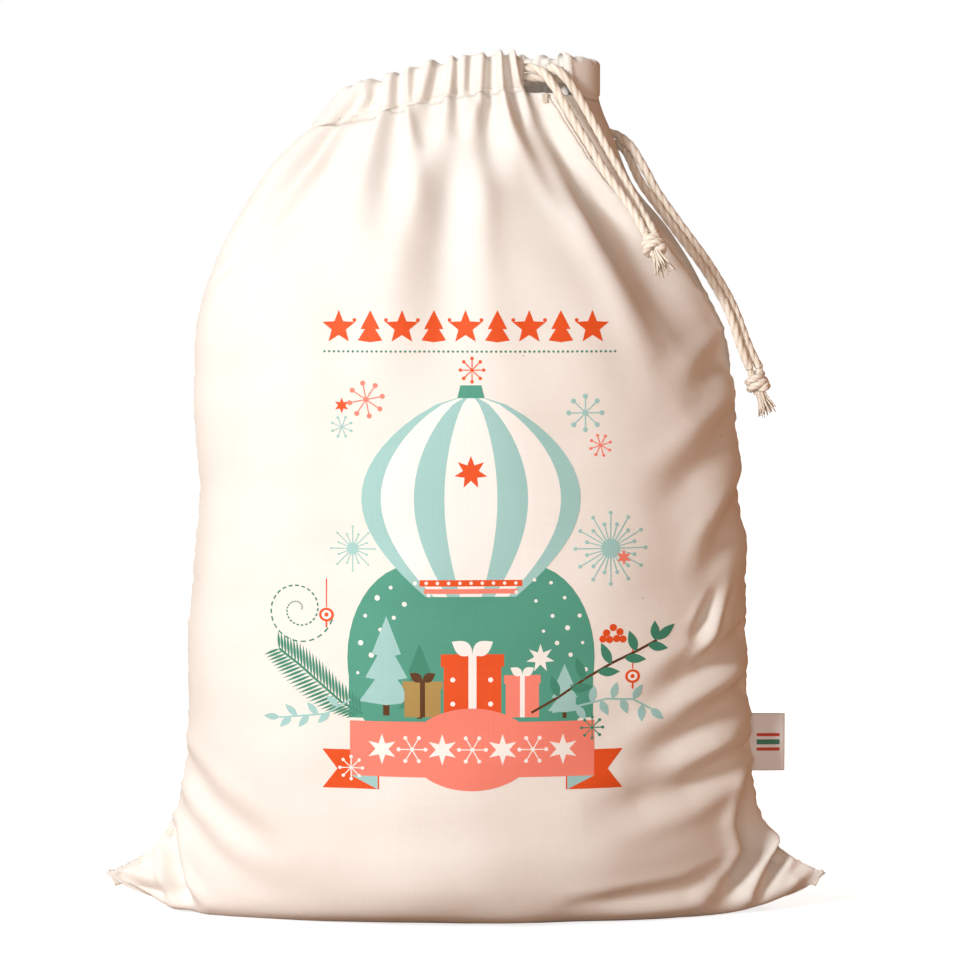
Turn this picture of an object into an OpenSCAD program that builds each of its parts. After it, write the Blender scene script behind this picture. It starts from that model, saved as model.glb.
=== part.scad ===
/* [Sack] */
// Height from the floor to the top of the gathered mouth
sack_h = 590; // [560:10:640]
// Width over the two bottom corners, which is the flat width of the cloth
sack_w = 500; // [470:10:540]
// Depth of the filled body at its fullest
sack_d = 248; // [230:4:270]
// Thickness of the body wall
wall = 3; // [2:0.5:4]

/* [Gathered mouth] */
// Height of the casing that holds the cords
casing_h = 26; // [24:0.5:28]
// Thickness of the gathered casing, from its outside to the mouth
casing_t = 13; // [12.5:0.5:15]
// How far the pleats of the casing stand out
pleat_rise = 1.4; // [0.5:0.1:2]

/* [Cords] */
// Diameter of the drawcord
cord_d = 6; // [5:0.5:6]
// Diameter of each knot
knot_d = 17; // [15:0.5:17]
// Length of each frayed end
tuft_l = 20; // [14:1:22]

/* [Side label] */
// Width of the folded label outside the seam
label_w = 22; // [16:1:28]
// Height of the label
label_h = 38; // [30:1:46]
// Height of the label's lower edge above the floor
label_z = 96; // [80:2:120]
// Thickness of the folded label
label_t = 1.3; // [1:0.1:1.4]

/* [Seams] */
// Width of the seam allowance inside the sack
seam_w = 10; // [8:1:12]
// Thickness of the layers in a seam
seam_t = 1.6; // [1.2:0.1:2]
// Thickness of the sewing thread
thread_d = 0.9; // [0.6:0.1:1.2]
// Length of one stitch
stitch_l = 5; // [4:0.5:7]
// Distance from one stitch to the next
stitch_pitch = 12; // [10:1:20]

/* [Hidden] */

cream = [0.95, 0.93, 0.88];
seam_cream = [0.88, 0.84, 0.75];
cord_cream = [0.90, 0.83, 0.70];
thread_white = [0.97, 0.96, 0.93];

// Gaps between neighbouring solids
skin_gap = 0.1;
seam_gap = 2.5;
end_gap = 0.5;
label_gap = 0.9;
// Room under the front casing, so that the front lip can lean out
lip_room = 7;
// Room under the back casing, which stays where it is
back_room = 0.5;

// Rings of the filled body from the floor up: height in percent of sack_h, width and depth in
// percent of sack_w and sack_d, sharpness of the side corners (1 is an ellipse, 2 is pointed),
// and how far the right and left side seams have turned to the front, in degrees
PROFILE = [
    [0, 86, 53, 1.7, 0, 0],
    [1.7, 96, 77, 1.9, 0, 0],
    [4.1, 100, 87, 2, 0, 0],
    [7.6, 88, 93, 1.6, 0, 0],
    [12.7, 80.4, 97, 1.25, 0, 0],
    [20.3, 78.4, 100, 1.05, 0, 0],
    [34, 76, 100, 0.92, 0, 0],
    [49, 74.8, 98, 0.9, 0, 0],
    [61, 75, 93, 0.9, 2, 0],
    [69.5, 72, 86, 0.95, 6, -2],
    [75.4, 64, 78, 1, 12, -6],
    [80.5, 55, 67, 1, 20, -11],
    [85, 47, 55, 1, 30, -18]
];

// The mouth's ring: centre, half sizes, and the angles of the two gaps where the cords come out
mouth_x = 4;
mouth_rx = 80;
mouth_ry = 30;
right_gap = [296, 318];
left_gap = [136, 164];
right_seam = (right_gap[0] + right_gap[1]) / 2;
left_seam = (left_gap[0] + left_gap[1]) / 2;
// The ring arches: it is highest at arch_x and falls by arch_drop at arch_reach from there
arch_x = 38;
arch_reach = 118;
arch_drop = 27;
// The neck of the body, just under the casing
rim_rx = mouth_rx + casing_t / 2 + 0.5;
rim_ry = mouth_ry + casing_t / 2 + 1.5;
// The bottom seam line stops this far inside the lowest ring
bottom_inset = 10;

panel_cols = 30;
casing_steps = 36;
run_steps = 30;
crossing_steps = 4;
// Angle left free at each end of a crossing
end_turn = 1.5;
cord_sides = 10;
round_fn = 32;

// The channel inside the casing, and the two cords one above the other in it
channel_t = cord_d + 1.6;
channel_h = 2 * cord_d + 3;
cord_level = cord_d / 2 + 0.3;
casing_stitches = 26;

// Routes of the free cords, laid on the cloth by hand
RIGHT_FRONT = [
    [40, -27, 580.3], [46, -27.6, 580.2], [52, -30, 578], [57.5, -34.5, 571], [62.5, -36, 564],
    [68, -36.8, 554], [74, -38, 543.5], [80, -39, 534], [86, -40, 524.5], [91.5, -41.5, 515],
    [97, -43, 506.5], [103, -44.5, 498], [109, -46.5, 489.5], [114, -49.5, 481.5],
    [118, -53.8, 474.3], [121.4, -58.4, 467]
];
RIGHT_BACK = [
    [62.6, -20.5, 579.2], [59.3, -22.7, 579.8], [57.5, -26.5, 580.5], [60, -30.8, 580],
    [64.5, -33.2, 577], [69.5, -32.8, 571.5], [74.5, -30.5, 565], [79, -29, 557.5],
    [88, -29, 541.5], [97, -31, 524.5], [106, -33.5, 508.5], [111, -35.5, 499.5],
    [115.5, -38.5, 491], [119.5, -43, 482.5], [124, -49.5, 474.7], [127.6, -56.8, 468]
];
LEFT_LOWER = [
    [-72.2, 10.3, 549.4], [-70.5, 14.5, 548.8], [-71, 21.5, 545.5], [-70.5, 29, 541],
    [-68.5, 36, 535.5], [-61, 42, 531.5], [-48, 48.4, 530], [-35, 52, 531], [-22, 54.4, 531.5],
    [-8, 57.4, 530], [6, 58.1, 529.5], [20, 57.4, 529.8], [34, 55.6, 530], [48, 52.7, 530],
    [60, 49.2, 530], [72, 44.4, 529.8], [82, 39, 530], [90, 32.2, 531], [96.5, 24.8, 532.5]
];
LEFT_UPPER = [
    [-54.6, 20.9, 557.1], [-58.5, 20.5, 556.2], [-64, 21.8, 553.8], [-70, 25.5, 551],
    [-74, 31, 548.5], [-73, 38, 546], [-67.5, 43, 544], [-59.5, 45, 542.5], [-48, 46.5, 541],
    [-35, 48.8, 540], [-22, 51.4, 539], [-8, 52.8, 539], [6, 53.2, 539.2], [20, 52.6, 539.8],
    [34, 50.8, 540.2], [48, 48, 540.2], [60, 44.4, 540], [72, 39.5, 539.6], [82, 34.2, 539],
    [90, 28.2, 538.8], [96.5, 21.2, 538.6]
];
LEFT_FRONT = [
    [97.6, 23.3, 532.1], [103.8, 15.9, 530.3], [109.5, 6.7, 526.3], [113.3, -2.4, 518.9],
    [116.2, -9.3, 511.2], [121, -13.2, 501.5], [129, -14.6, 490.4], [137.2, -15, 479.4],
    [146.2, -15.5, 467.4], [154.7, -16, 456], [163.3, -16, 444.5], [171.3, -16, 431.5],
    [178.4, -16.3, 419], [183.6, -16.3, 406.5], [187.4, -16, 394.5], [191.7, -15.5, 383],
    [195.4, -13.8, 375.2]
];
LEFT_BACK = [
    [97.2, 20.3, 538.5], [103.2, 12.6, 536.9], [108.8, 4.7, 533.2], [114, -2, 527.8],
    [118.3, -6.3, 520.6], [124.4, -8.7, 509.9], [130.6, -9.9, 498], [138.5, -10.8, 486.4],
    [147.3, -11.4, 474.1], [156, -12, 462.4], [165, -12, 450.2], [174, -12, 436.2],
    [182, -12, 422.2], [187.7, -12, 409.2], [192.2, -11.8, 396.7], [197.2, -11.3, 385],
    [202.2, -10.8, 375.8]
];
RIGHT_KNOT = [126.2, -62.8, 459.8];
RIGHT_TUFT_DIR = [0.3, -0.5, -0.81];
LEFT_KNOT = [200, -12, 366];
LEFT_TUFT_DIR = [0.35, 0, -0.94];

function signed_pow(v, p) = sign(v) * pow(abs(v), p);

function unit(v) = v / norm(v);

// Middle height of the casing above a point x
function casing_z(x) = sack_h - casing_h / 2 - arch_drop * pow((x - arch_x) / arch_reach, 2);

// A point of ring i of the body at an angle, moved inwards by inset
function ring_point(i, angle, inset) = let (
        s = PROFILE[i],
        rx = sack_w * s[1] / 200 - inset,
        ry = sack_d * s[2] / 200 - inset
    ) [rx * cos(angle), ry * signed_pow(sin(angle), s[3]), sack_h * s[0] / 100];

// A point of the neck's rim, with room between it and the casing
function rim_point(angle, inset, room) = let (
        x = mouth_x + (rim_rx - inset) * cos(angle),
        y = (rim_ry - inset) * sin(angle)
    ) [x, y, casing_z(x) - casing_h / 2 - room];

// Half width of the body at a height
function side_x(z) = lookup(z, [for (s = PROFILE) [sack_h * s[0] / 100, sack_w * s[1] / 200]]);

// Angle of column j of a panel: both panels run from the left seam to the right seam
function panel_angle(j, right_turn, left_turn, front) = let (
        a0 = 180 + left_turn,
        a1 = front ? 360 - right_turn : -right_turn
    ) a0 + (a1 - a0) * j / panel_cols;

// Point j of row i of a panel's skin: row 0 is the bottom seam line, the last row is the rim
function panel_point(i, j, inset, front) = let (
        last = len(PROFILE) + 1,
        s = PROFILE[max(0, min(i, last - 1) - 1)],
        a = i == last ? panel_angle(j, 360 - right_seam, left_seam - 180, front)
            : panel_angle(j, s[4], s[5], front),
        bottom_x = (sack_w * PROFILE[0][1] / 200 - bottom_inset - inset) * cos(a),
        p = i == 0 ? [bottom_x, 0, 0]
            : i == last ? rim_point(a, inset, front ? lip_room : back_room)
            : ring_point(i - 1, a, inset)
    ) [p[0], p[1], max(p[2], inset)];

// Two triangles for each cell of a grid of rows and columns, cut alike on the left and the right
function grid_faces(rows, cols, base, flip) = [
    for (i = [0:rows - 2], j = [0:cols - 2], k = [0, 1]) let (
            a = base + i * cols + j,
            b = a + 1,
            c = a + cols,
            d = c + 1,
            tri = j < cols / 2 ? (k == 0 ? [a, b, d] : [a, d, c])
                : (k == 0 ? [a, b, c] : [b, d, c])
        ) flip ? reverse(tri) : tri
];

function reverse(t) = [t[2], t[1], t[0]];

// One half of the sack: an outer skin and an inner skin joined along the seams and the rim
module panel(front) {
    cols = panel_cols + 1;
    rows = len(PROFILE) + 2;
    n = rows * cols;
    last = n - cols;
    skins = [for (inset = [0, wall], i = [0:rows - 1], j = [0:cols - 1])
        panel_point(i, j, inset, front)];
    bottom = [for (j = [0:cols - 2], k = [0, 1])
        k == 0 ? [j, n + j, n + j + 1] : [j, n + j + 1, j + 1]];
    top = [for (j = [last:n - 2], k = [0, 1])
        k == 0 ? [j, n + j + 1, n + j] : [j, j + 1, n + j + 1]];
    left = [for (a = [0:cols:last - cols], k = [0, 1])
        k == 0 ? [a, n + a + cols, n + a] : [a, a + cols, n + a + cols]];
    right = [for (a = [cols - 1:cols:last - 1], k = [0, 1])
        k == 0 ? [a, n + a, n + a + cols] : [a, n + a + cols, a + cols]];
    faces = concat(grid_faces(rows, cols, 0, false), grid_faces(rows, cols, n, true),
        bottom, top, left, right);
    translate([0, front ? -skin_gap : skin_gap, 0])
        polyhedron(skins, front ? [for (f = faces) reverse(f)] : faces);
}

// A strip of the given section swept along a list of frames [point, side, up]
module swept(frames, section) {
    m = len(section);
    n = len(frames);
    points = [for (f = frames, s = section) f[0] + f[1] * s[0] + f[2] * s[1]];
    sides = [for (i = [0:n - 2], j = [0:m - 1], k = [0, 1]) let (
            a = i * m + j,
            b = i * m + (j + 1) % m
        ) k == 0 ? [a, b, b + m] : [a, b + m, a + m]];
    polyhedron(points, concat(sides,
        [[for (j = [m - 1:-1:0]) j]], [[for (j = [0:m - 1]) (n - 1) * m + j]]));
}

function circle_section(r, sides) = [for (i = [0:sides - 1])
    [r * cos(360 * i / sides), r * sin(360 * i / sides)]];

// Direction of a route at point i, and its frames for a sweep
function route_dir(route, i) =
    unit(route[min(i + 1, len(route) - 1)] - route[max(i - 1, 0)]);

function route_frames(route) = [for (i = [0:len(route) - 1]) let (
        d = route_dir(route, i),
        side = unit(cross(d, [0.2, 0.3, 1])),
        up = cross(side, d)
    ) [route[i], side, up]];

module cord(route) {
    color(cord_cream) swept(route_frames(route), circle_section(cord_d / 2, cord_sides));
}

// Middle of the casing at an angle, its outward direction and its direction along the ring
function mouth_point(angle) = let (
        x = mouth_x + mouth_rx * cos(angle)
    ) [x, mouth_ry * sin(angle), casing_z(x)];

function mouth_out(angle) = unit([cos(angle) / mouth_rx, sin(angle) / mouth_ry, 0]);

function mouth_along(angle) = unit(mouth_point(angle + 1) - mouth_point(angle - 1));

// Route of a cord inside the casing between two angles, at a level above its middle
function run_route(a0, a1, level, steps) = [for (i = [0:steps])
    mouth_point(a0 + (a1 - a0) * i / steps) + [0, 0, level]];

// The hem that is turned down and sewn, with the channel left open at both ends
module casing(a0, a1) {
    n = casing_steps + 1;
    h = casing_h / 2;
    hc = channel_h / 2;
    points = [for (i = [0:n - 1]) let (
            angle = a0 + (a1 - a0) * i / casing_steps,
            t = casing_t / 2 + (i % 2) * pleat_rise,
            tc = channel_t / 2,
            o = mouth_out(angle),
            p = mouth_point(angle)
        ) each [p + o * t + [0, 0, -h], p + o * t + [0, 0, h],
            p - o * t + [0, 0, h], p - o * t + [0, 0, -h],
            p + o * tc + [0, 0, -hc], p + o * tc + [0, 0, hc],
            p - o * tc + [0, 0, hc], p - o * tc + [0, 0, -hc]]];
    outside = [for (i = [0:n - 2], j = [0:3], k = [0, 1]) let (
            a = i * 8 + j,
            b = i * 8 + (j + 1) % 4
        ) k == 0 ? [a, b, b + 8] : [a, b + 8, a + 8]];
    inside = [for (i = [0:n - 2], j = [0:3], k = [0, 1]) let (
            a = i * 8 + 4 + j,
            b = i * 8 + 4 + (j + 1) % 4
        ) k == 0 ? [a, b + 8, b] : [a, a + 8, b + 8]];
    ends = [for (base = [0, (n - 1) * 8], j = [0:3], k = [0, 1]) let (
            a = base + j,
            b = base + (j + 1) % 4,
            tri = k == 0 ? [a, a + 4, b + 4] : [a, b + 4, b]
        ) base == 0 ? tri : reverse(tri)];
    color(cream) polyhedron(points, concat(outside, inside, ends));
}

// Stitches that hold the casing down, each passing through it near its lower edge
module casing_stitching(a0, a1) {
    color(thread_white)
        for (i = [0:casing_stitches - 1]) {
            angle = a0 + (a1 - a0) * (i + 0.5) / casing_stitches;
            out = mouth_out(angle);
            half = casing_t / 2 + pleat_rise + 0.3;
            translate(mouth_point(angle) - [0, 0, casing_h / 2 - 2.5] - out * half)
                rotate([0, 90, atan2(out[1], out[0])])
                    cylinder(h = 2 * half, d = thread_d, $fn = round_fn);
        }
}

// Angle of a side seam on ring i
function seam_angle(i, right) = right ? -PROFILE[i][4] : 180 + PROFILE[i][5];

// Frames along a side seam: the point on the ring, the way into the sack, and the way across
function seam_frames(right) = let (deep = wall + seam_gap) [
    for (i = [1:len(PROFILE) - 1]) let (
            a = seam_angle(i, right),
            p = ring_point(i, a, deep),
            q = ring_point(i, a, deep + seam_w)
        ) [p, unit(q - p), unit(cross(q - p, [0, 0, 1]))]
];

module side_seam(right) {
    t = seam_t / 2;
    section = [[0, -t], [seam_w, -t], [seam_w, t], [0, t]];
    color(seam_cream) swept(seam_frames(right), section);
}

// Stitches along a seam, lying on one face of its allowance
module seam_stitching(frames) {
    depth = seam_w * 0.45;
    lift = seam_t / 2 + thread_d / 2 + 0.2;
    color(thread_white)
        for (i = [0:len(frames) - 2]) {
            p = frames[i][0] + frames[i][1] * depth + frames[i][2] * lift;
            q = frames[i + 1][0] + frames[i + 1][1] * depth + frames[i + 1][2] * lift;
            d = unit(q - p);
            count = max(1, floor(norm(q - p) / stitch_pitch));
            for (k = [0:count - 1])
                translate(p + (q - p) * (k + 0.3) / count)
                    rotate([0, acos(d[2]), atan2(d[1], d[0])])
                        cylinder(h = stitch_l, d = thread_d, $fn = round_fn);
        }
}

// Frames along the bottom seam, whose allowance stands up from the floor of the sack
bottom_half = sack_w * PROFILE[0][1] / 200 - bottom_inset - 15;
bottom_frames = [for (x = [-bottom_half, bottom_half])
    [[x, 0, wall + end_gap], [0, 0, 1], [0, 1, 0]]];

// A dense bar of thread across the top end of a side seam
module bartack(angle) {
    drop = 5;
    stand = 7;
    length = 9;
    along = mouth_along(angle);
    color(thread_white)
        translate(rim_point(angle, -stand, lip_room + drop))
            rotate([0, 0, atan2(along[1], along[0])])
                rotate([0, 90, 0])
                    cylinder(h = length, d = 2, center = true, $fn = round_fn);
}

module knot(centre) {
    color(cord_cream) translate(centre) sphere(d = knot_d, $fn = round_fn);
}

// The frayed ends below a knot, as one flared bundle
module tuft(centre, direction) {
    d = unit(direction);
    start = knot_d / 2 + 0.3;
    color(cord_cream) translate(centre + d * start)
        rotate([0, acos(d[2]), atan2(d[1], d[0])])
            cylinder(h = tuft_l, d1 = cord_d, d2 = 2 * cord_d, $fn = round_fn);
}

module front_panel() {
    color(cream) panel(true);
}

module back_panel() {
    color(cream) panel(false);
}

module left_side_seam() {
    side_seam(false);
}

module right_side_seam() {
    side_seam(true);
}

module bottom_seam() {
    t = seam_t / 2;
    color(seam_cream) translate([-bottom_half, -t, wall + end_gap])
        cube([2 * bottom_half, seam_t, seam_w]);
}

module left_seam_stitching() {
    seam_stitching(seam_frames(false));
}

module right_seam_stitching() {
    seam_stitching(seam_frames(true));
}

module bottom_seam_stitching() {
    seam_stitching(bottom_frames);
}

module left_bartack() {
    bartack(left_seam);
}

module right_bartack() {
    bartack(right_seam);
}

module front_casing() {
    casing(left_gap[1], right_gap[0]);
}

module back_casing() {
    casing(right_gap[1] - 360, left_gap[0]);
}

module front_casing_stitching() {
    casing_stitching(left_gap[1], right_gap[0]);
}

module back_casing_stitching() {
    casing_stitching(right_gap[1] - 360, left_gap[0]);
}

module left_cord_front_run() {
    cord(run_route(left_gap[1], right_gap[0], -cord_level, run_steps));
}

module left_cord_back_run() {
    cord(run_route(right_gap[1] - 360, left_gap[0], -cord_level, run_steps));
}

module right_cord_front_run() {
    cord(run_route(left_gap[1], right_gap[0], cord_level, run_steps));
}

module right_cord_back_run() {
    cord(run_route(right_gap[1] - 360, left_gap[0], cord_level, run_steps));
}

// Where the left cord passes the right gap, from the front casing into the back one
module left_cord_crossing() {
    cord(run_route(right_gap[0] + end_turn, right_gap[1] - end_turn, -cord_level, crossing_steps));
}

// Where the right cord passes the left gap
module right_cord_crossing() {
    cord(run_route(left_gap[0] + end_turn, left_gap[1] - end_turn, cord_level, crossing_steps));
}

module right_tail_front() {
    cord(RIGHT_FRONT);
}

module right_tail_back() {
    cord(RIGHT_BACK);
}

module right_knot() {
    knot(RIGHT_KNOT);
}

module right_tuft() {
    tuft(RIGHT_KNOT, RIGHT_TUFT_DIR);
}

module left_wrap_upper() {
    cord(LEFT_UPPER);
}

module left_wrap_lower() {
    cord(LEFT_LOWER);
}

module left_tail_front() {
    cord(LEFT_FRONT);
}

module left_tail_back() {
    cord(LEFT_BACK);
}

module left_knot() {
    knot(LEFT_KNOT);
}

module left_tuft() {
    tuft(LEFT_KNOT, LEFT_TUFT_DIR);
}

// The tape label, folded at its outer edge, which leans along the side of the sack
module side_label() {
    x0 = side_x(label_z) + label_gap;
    lean = atan2(side_x(label_z) - side_x(label_z + label_h), label_h);
    slot = label_t / 4;
    color(thread_white) translate([x0, 0, label_z]) rotate([0, -lean, 0])
        linear_extrude(height = label_h)
            difference() {
                union() {
                    translate([0, -label_t / 2])
                        square([label_w - label_t / 2, label_t]);
                    translate([label_w - label_t / 2, 0])
                        circle(d = label_t, $fn = round_fn);
                }
                translate([-1, -slot / 2])
                    square([label_w - label_t + 1, slot]);
            }
}

front_panel();
back_panel();
left_side_seam();
right_side_seam();
bottom_seam();
left_seam_stitching();
right_seam_stitching();
bottom_seam_stitching();
left_bartack();
right_bartack();
front_casing();
back_casing();
front_casing_stitching();
back_casing_stitching();
left_cord_front_run();
left_cord_back_run();
right_cord_front_run();
right_cord_back_run();
left_cord_crossing();
right_cord_crossing();
right_tail_front();
right_tail_back();
right_knot();
right_tuft();
left_wrap_upper();
left_wrap_lower();
left_tail_front();
left_tail_back();
left_knot();
left_tuft();
side_label();
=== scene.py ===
# %% [markdown]
# # A cotton gift sack, gathered on two drawcords
# The sack is two flat cloth panels sewn round three sides. It is filled out, so it stands, and its
# hem is gathered on two cords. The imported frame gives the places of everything: the looks made here
# are built around it and never move it.

import math

import bpy
import numpy as np
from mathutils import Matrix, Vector
from mathutils.bvhtree import BVHTree
from mathutils.geometry import delaunay_2d_cdt


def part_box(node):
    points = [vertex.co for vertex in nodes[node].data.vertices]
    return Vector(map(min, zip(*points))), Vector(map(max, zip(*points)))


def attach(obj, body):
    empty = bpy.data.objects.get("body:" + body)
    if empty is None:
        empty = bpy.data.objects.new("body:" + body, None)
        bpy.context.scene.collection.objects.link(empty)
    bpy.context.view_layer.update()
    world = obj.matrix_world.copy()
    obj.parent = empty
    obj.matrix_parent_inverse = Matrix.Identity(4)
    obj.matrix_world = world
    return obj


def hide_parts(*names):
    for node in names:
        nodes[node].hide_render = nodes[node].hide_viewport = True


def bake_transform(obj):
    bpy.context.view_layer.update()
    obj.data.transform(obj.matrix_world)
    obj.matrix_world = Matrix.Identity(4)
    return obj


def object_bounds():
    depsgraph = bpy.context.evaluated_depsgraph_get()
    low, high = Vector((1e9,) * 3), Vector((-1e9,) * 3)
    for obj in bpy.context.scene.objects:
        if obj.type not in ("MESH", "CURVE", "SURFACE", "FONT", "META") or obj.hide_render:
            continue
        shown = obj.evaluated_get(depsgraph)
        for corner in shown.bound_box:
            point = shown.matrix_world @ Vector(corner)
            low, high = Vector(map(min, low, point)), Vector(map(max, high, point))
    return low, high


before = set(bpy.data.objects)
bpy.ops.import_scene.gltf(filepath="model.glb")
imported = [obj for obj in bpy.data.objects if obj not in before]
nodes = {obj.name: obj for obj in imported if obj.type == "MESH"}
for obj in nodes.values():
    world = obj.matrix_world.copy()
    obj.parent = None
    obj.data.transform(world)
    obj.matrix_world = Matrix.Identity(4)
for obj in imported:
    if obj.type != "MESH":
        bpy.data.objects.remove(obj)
cad_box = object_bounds()
MM = 0.001
print("frame loaded:", len(nodes), "nodes, box", [tuple(round(c, 3) for c in p) for p in cad_box])

# %% [markdown]
# ## The camera
# A long lens from a little above the middle keeps the sack's sides upright.
# The lens is worked out from how wide a strip of the world it has to take in at the sack.

# %% Place the camera
VIEW_CENTRE = Vector((0.010, -0.06, 0.301))
VIEW_WIDTH = 0.649
CAMERA_AWAY = 2.6
CAMERA_RISE = math.radians(3)

camera_data = bpy.data.cameras.new("camera")
camera = bpy.data.objects.new("camera", camera_data)
bpy.context.scene.collection.objects.link(camera)
camera_data.sensor_width = 36
camera_data.lens = camera_data.sensor_width * CAMERA_AWAY / VIEW_WIDTH
back = Vector((0, -math.cos(CAMERA_RISE), math.sin(CAMERA_RISE)))
camera.location = VIEW_CENTRE + back * CAMERA_AWAY
camera.rotation_euler = (-back).to_track_quat("-Z", "Y").to_euler()
bpy.context.scene.camera = camera
print("camera lens", round(camera_data.lens), "mm")

# %% [markdown]
# ## Twisted cord
# The drawcord is soft cotton rope: three strands laid round each other. A round tube with a
# texture would look like a plastic hose from the side, so the tube's own section has three lobes,
# and it turns as it goes. Each stretch of cord is one long mesh.

# %% Smooth a given route and find its frames
CORD_D = 6 * MM
LAY_LENGTH = 27 * MM


def smooth_route(points, step=1.0 * MM):
    """A dense, smooth line through given points, in metres."""
    p = np.array(points, float)
    ends = np.vstack([2 * p[0] - p[1], p, 2 * p[-1] - p[-2]])
    line = []
    for i in range(1, len(ends) - 2):
        a, b, c, d = ends[i - 1:i + 3]
        count = max(2, int(np.linalg.norm(c - b) / step))
        for t in np.arange(count) / count:
            line.append(0.5 * (2 * b + (c - a) * t + (2 * a - 5 * b + 4 * c - d) * t ** 2
                               + (3 * b - 3 * c + d - a) * t ** 3))
    line.append(p[-1])
    return np.array(line)


def eased(line, passes=14):
    """The line with its tightest turns softened, and its two ends kept."""
    line = line.copy()
    for _ in range(passes):
        line[1:-1] = (line[:-2] + 2 * line[1:-1] + line[2:]) / 4
    return line


def line_length(line):
    return float(np.linalg.norm(np.diff(line, axis=0), axis=1).sum())


def carried_frames(line):
    """Directions and two side vectors at each point, carried along without twisting."""
    directions = np.gradient(line, axis=0)
    directions /= np.linalg.norm(directions, axis=1)[:, None]
    side = np.cross(directions[0], (0.2, 0.3, 1.0))
    sides = []
    for d in directions:
        side = side - d * side.dot(d)
        side /= np.linalg.norm(side)
        sides.append(side)
    sides = np.array(sides)
    return directions, sides, np.cross(directions, sides)


# %% Build a length of twisted rope as vertices and faces
ROPE_SIDES = 24
LOBES = 3


def rope_shape(line, diameter, lay=LAY_LENGTH, start_turn=0.0, pinch=None, sides=ROPE_SIDES, lobes=LOBES):
    """Vertices, faces and UVs of a twisted rope along a dense line; with no lobes it is a round thread."""
    _, side, up = carried_frames(line)
    steps = np.r_[0, np.cumsum(np.linalg.norm(np.diff(line, axis=0), axis=1))]
    turn = start_turn + 2 * math.pi * steps / lay
    theta = 2 * math.pi * np.arange(sides) / sides
    lobe = np.abs(np.cos(lobes / 2 * theta)) ** 0.75
    radius = diameter / 2 * (0.87 + 0.15 * lobe)
    thick = np.ones(len(line)) if pinch is None else np.interp(steps / steps[-1], *pinch)
    ring = theta[None, :] + turn[:, None]
    r = radius[None, :] * thick[:, None]
    verts = (line[:, None, :] + side[:, None, :] * (r * np.cos(ring))[:, :, None]
             + up[:, None, :] * (r * np.sin(ring))[:, :, None]).reshape(-1, 3)
    faces, uvs = [], []
    for i in range(len(line) - 1):
        for j in range(sides):
            k = (j + 1) % sides
            a, b = i * sides, (i + 1) * sides
            faces.append((a + j, a + k, b + k, b + j))
            u0, u1 = j / sides, (j + 1) / sides
            uvs.append([(u0, steps[i]), (u1, steps[i]), (u1, steps[i + 1]), (u0, steps[i + 1])])
    last = (len(line) - 1) * sides
    faces.append(tuple(range(sides - 1, -1, -1)))
    faces.append(tuple(last + j for j in range(sides)))
    uvs += [[(0.5, 0)] * sides, [(0.5, steps[-1])] * sides]
    return verts, faces, uvs


def join_shapes(shapes):
    """One list of vertices, faces and UVs out of several."""
    verts, faces, uvs, start = [], [], [], 0
    for v, f, t in shapes:
        verts.append(v)
        faces += [tuple(i + start for i in face) for face in f]
        uvs += t
        start += len(v)
    return np.vstack(verts), faces, uvs


def mesh_piece(name, shape, material=None, smooth=True):
    """A new mesh object out of vertices, faces and UVs."""
    verts, faces, uvs = shape
    mesh = bpy.data.meshes.new(name)
    mesh.from_pydata([tuple(v) for v in verts], [], faces)
    layer = mesh.uv_layers.new(name="UVMap")
    layer.data.foreach_set("uv", np.array([c for face in uvs for c in face], float).ravel())
    mesh.polygons.foreach_set("use_smooth", [smooth] * len(faces))
    mesh.update()
    piece = bpy.data.objects.new(name, mesh)
    bpy.context.scene.collection.objects.link(piece)
    if material is not None:
        mesh.materials.append(material)
    return piece


# %% [markdown]
# ## Shader helpers
# Weave, slubs and fibre are wanted in several finishes. Weave and slubs are a node group with
# named sockets. The shader that uses them stays in its own material.

# %% Small helpers for node trees
def new_group(name, inputs, outputs):
    """A shader node group. inputs: (name, kind, default); outputs: (name, kind)."""
    group = bpy.data.node_groups.new(name, "ShaderNodeTree")
    for label, kind, value in inputs:
        socket = group.interface.new_socket(name=label, in_out="INPUT", socket_type=kind)
        if value is not None:
            socket.default_value = value
    for label, kind in outputs:
        group.interface.new_socket(name=label, in_out="OUTPUT", socket_type=kind)
    start = group.nodes.new("NodeGroupInput")
    end = group.nodes.new("NodeGroupOutput")
    return group, start, end


def add_node(tree, kind, links=(), **settings):
    """A node with its settings, and its inputs set to values or linked from sockets."""
    node = tree.nodes.new(kind)
    for key, value in settings.items():
        setattr(node, key, value)
    for key, value in dict(links).items():
        if isinstance(value, bpy.types.NodeSocket):
            tree.links.new(value, node.inputs[key])
        else:
            node.inputs[key].default_value = value
    return node


def maths(tree, operation, a, b=None, c=None):
    """The output of a math node."""
    links = {0: a}
    if b is not None:
        links[1] = b
    if c is not None:
        links[2] = c
    return add_node(tree, "ShaderNodeMath", links, operation=operation).outputs[0]


def noise(tree, vector, scale, detail, **more):
    """A noise node at some coordinates."""
    return add_node(tree, "ShaderNodeTexNoise", {"Vector": vector, "Scale": scale, "Detail": detail, **more})


def mix_colour(tree, factor, a, b):
    """The colour output of a mix node."""
    node = add_node(tree, "ShaderNodeMix", data_type="RGBA")
    for key, value in ((0, factor), (6, a), (7, b)):
        if isinstance(value, bpy.types.NodeSocket):
            tree.links.new(value, node.inputs[key])
        else:
            node.inputs[key].default_value = value
    return node.outputs[2]


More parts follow.
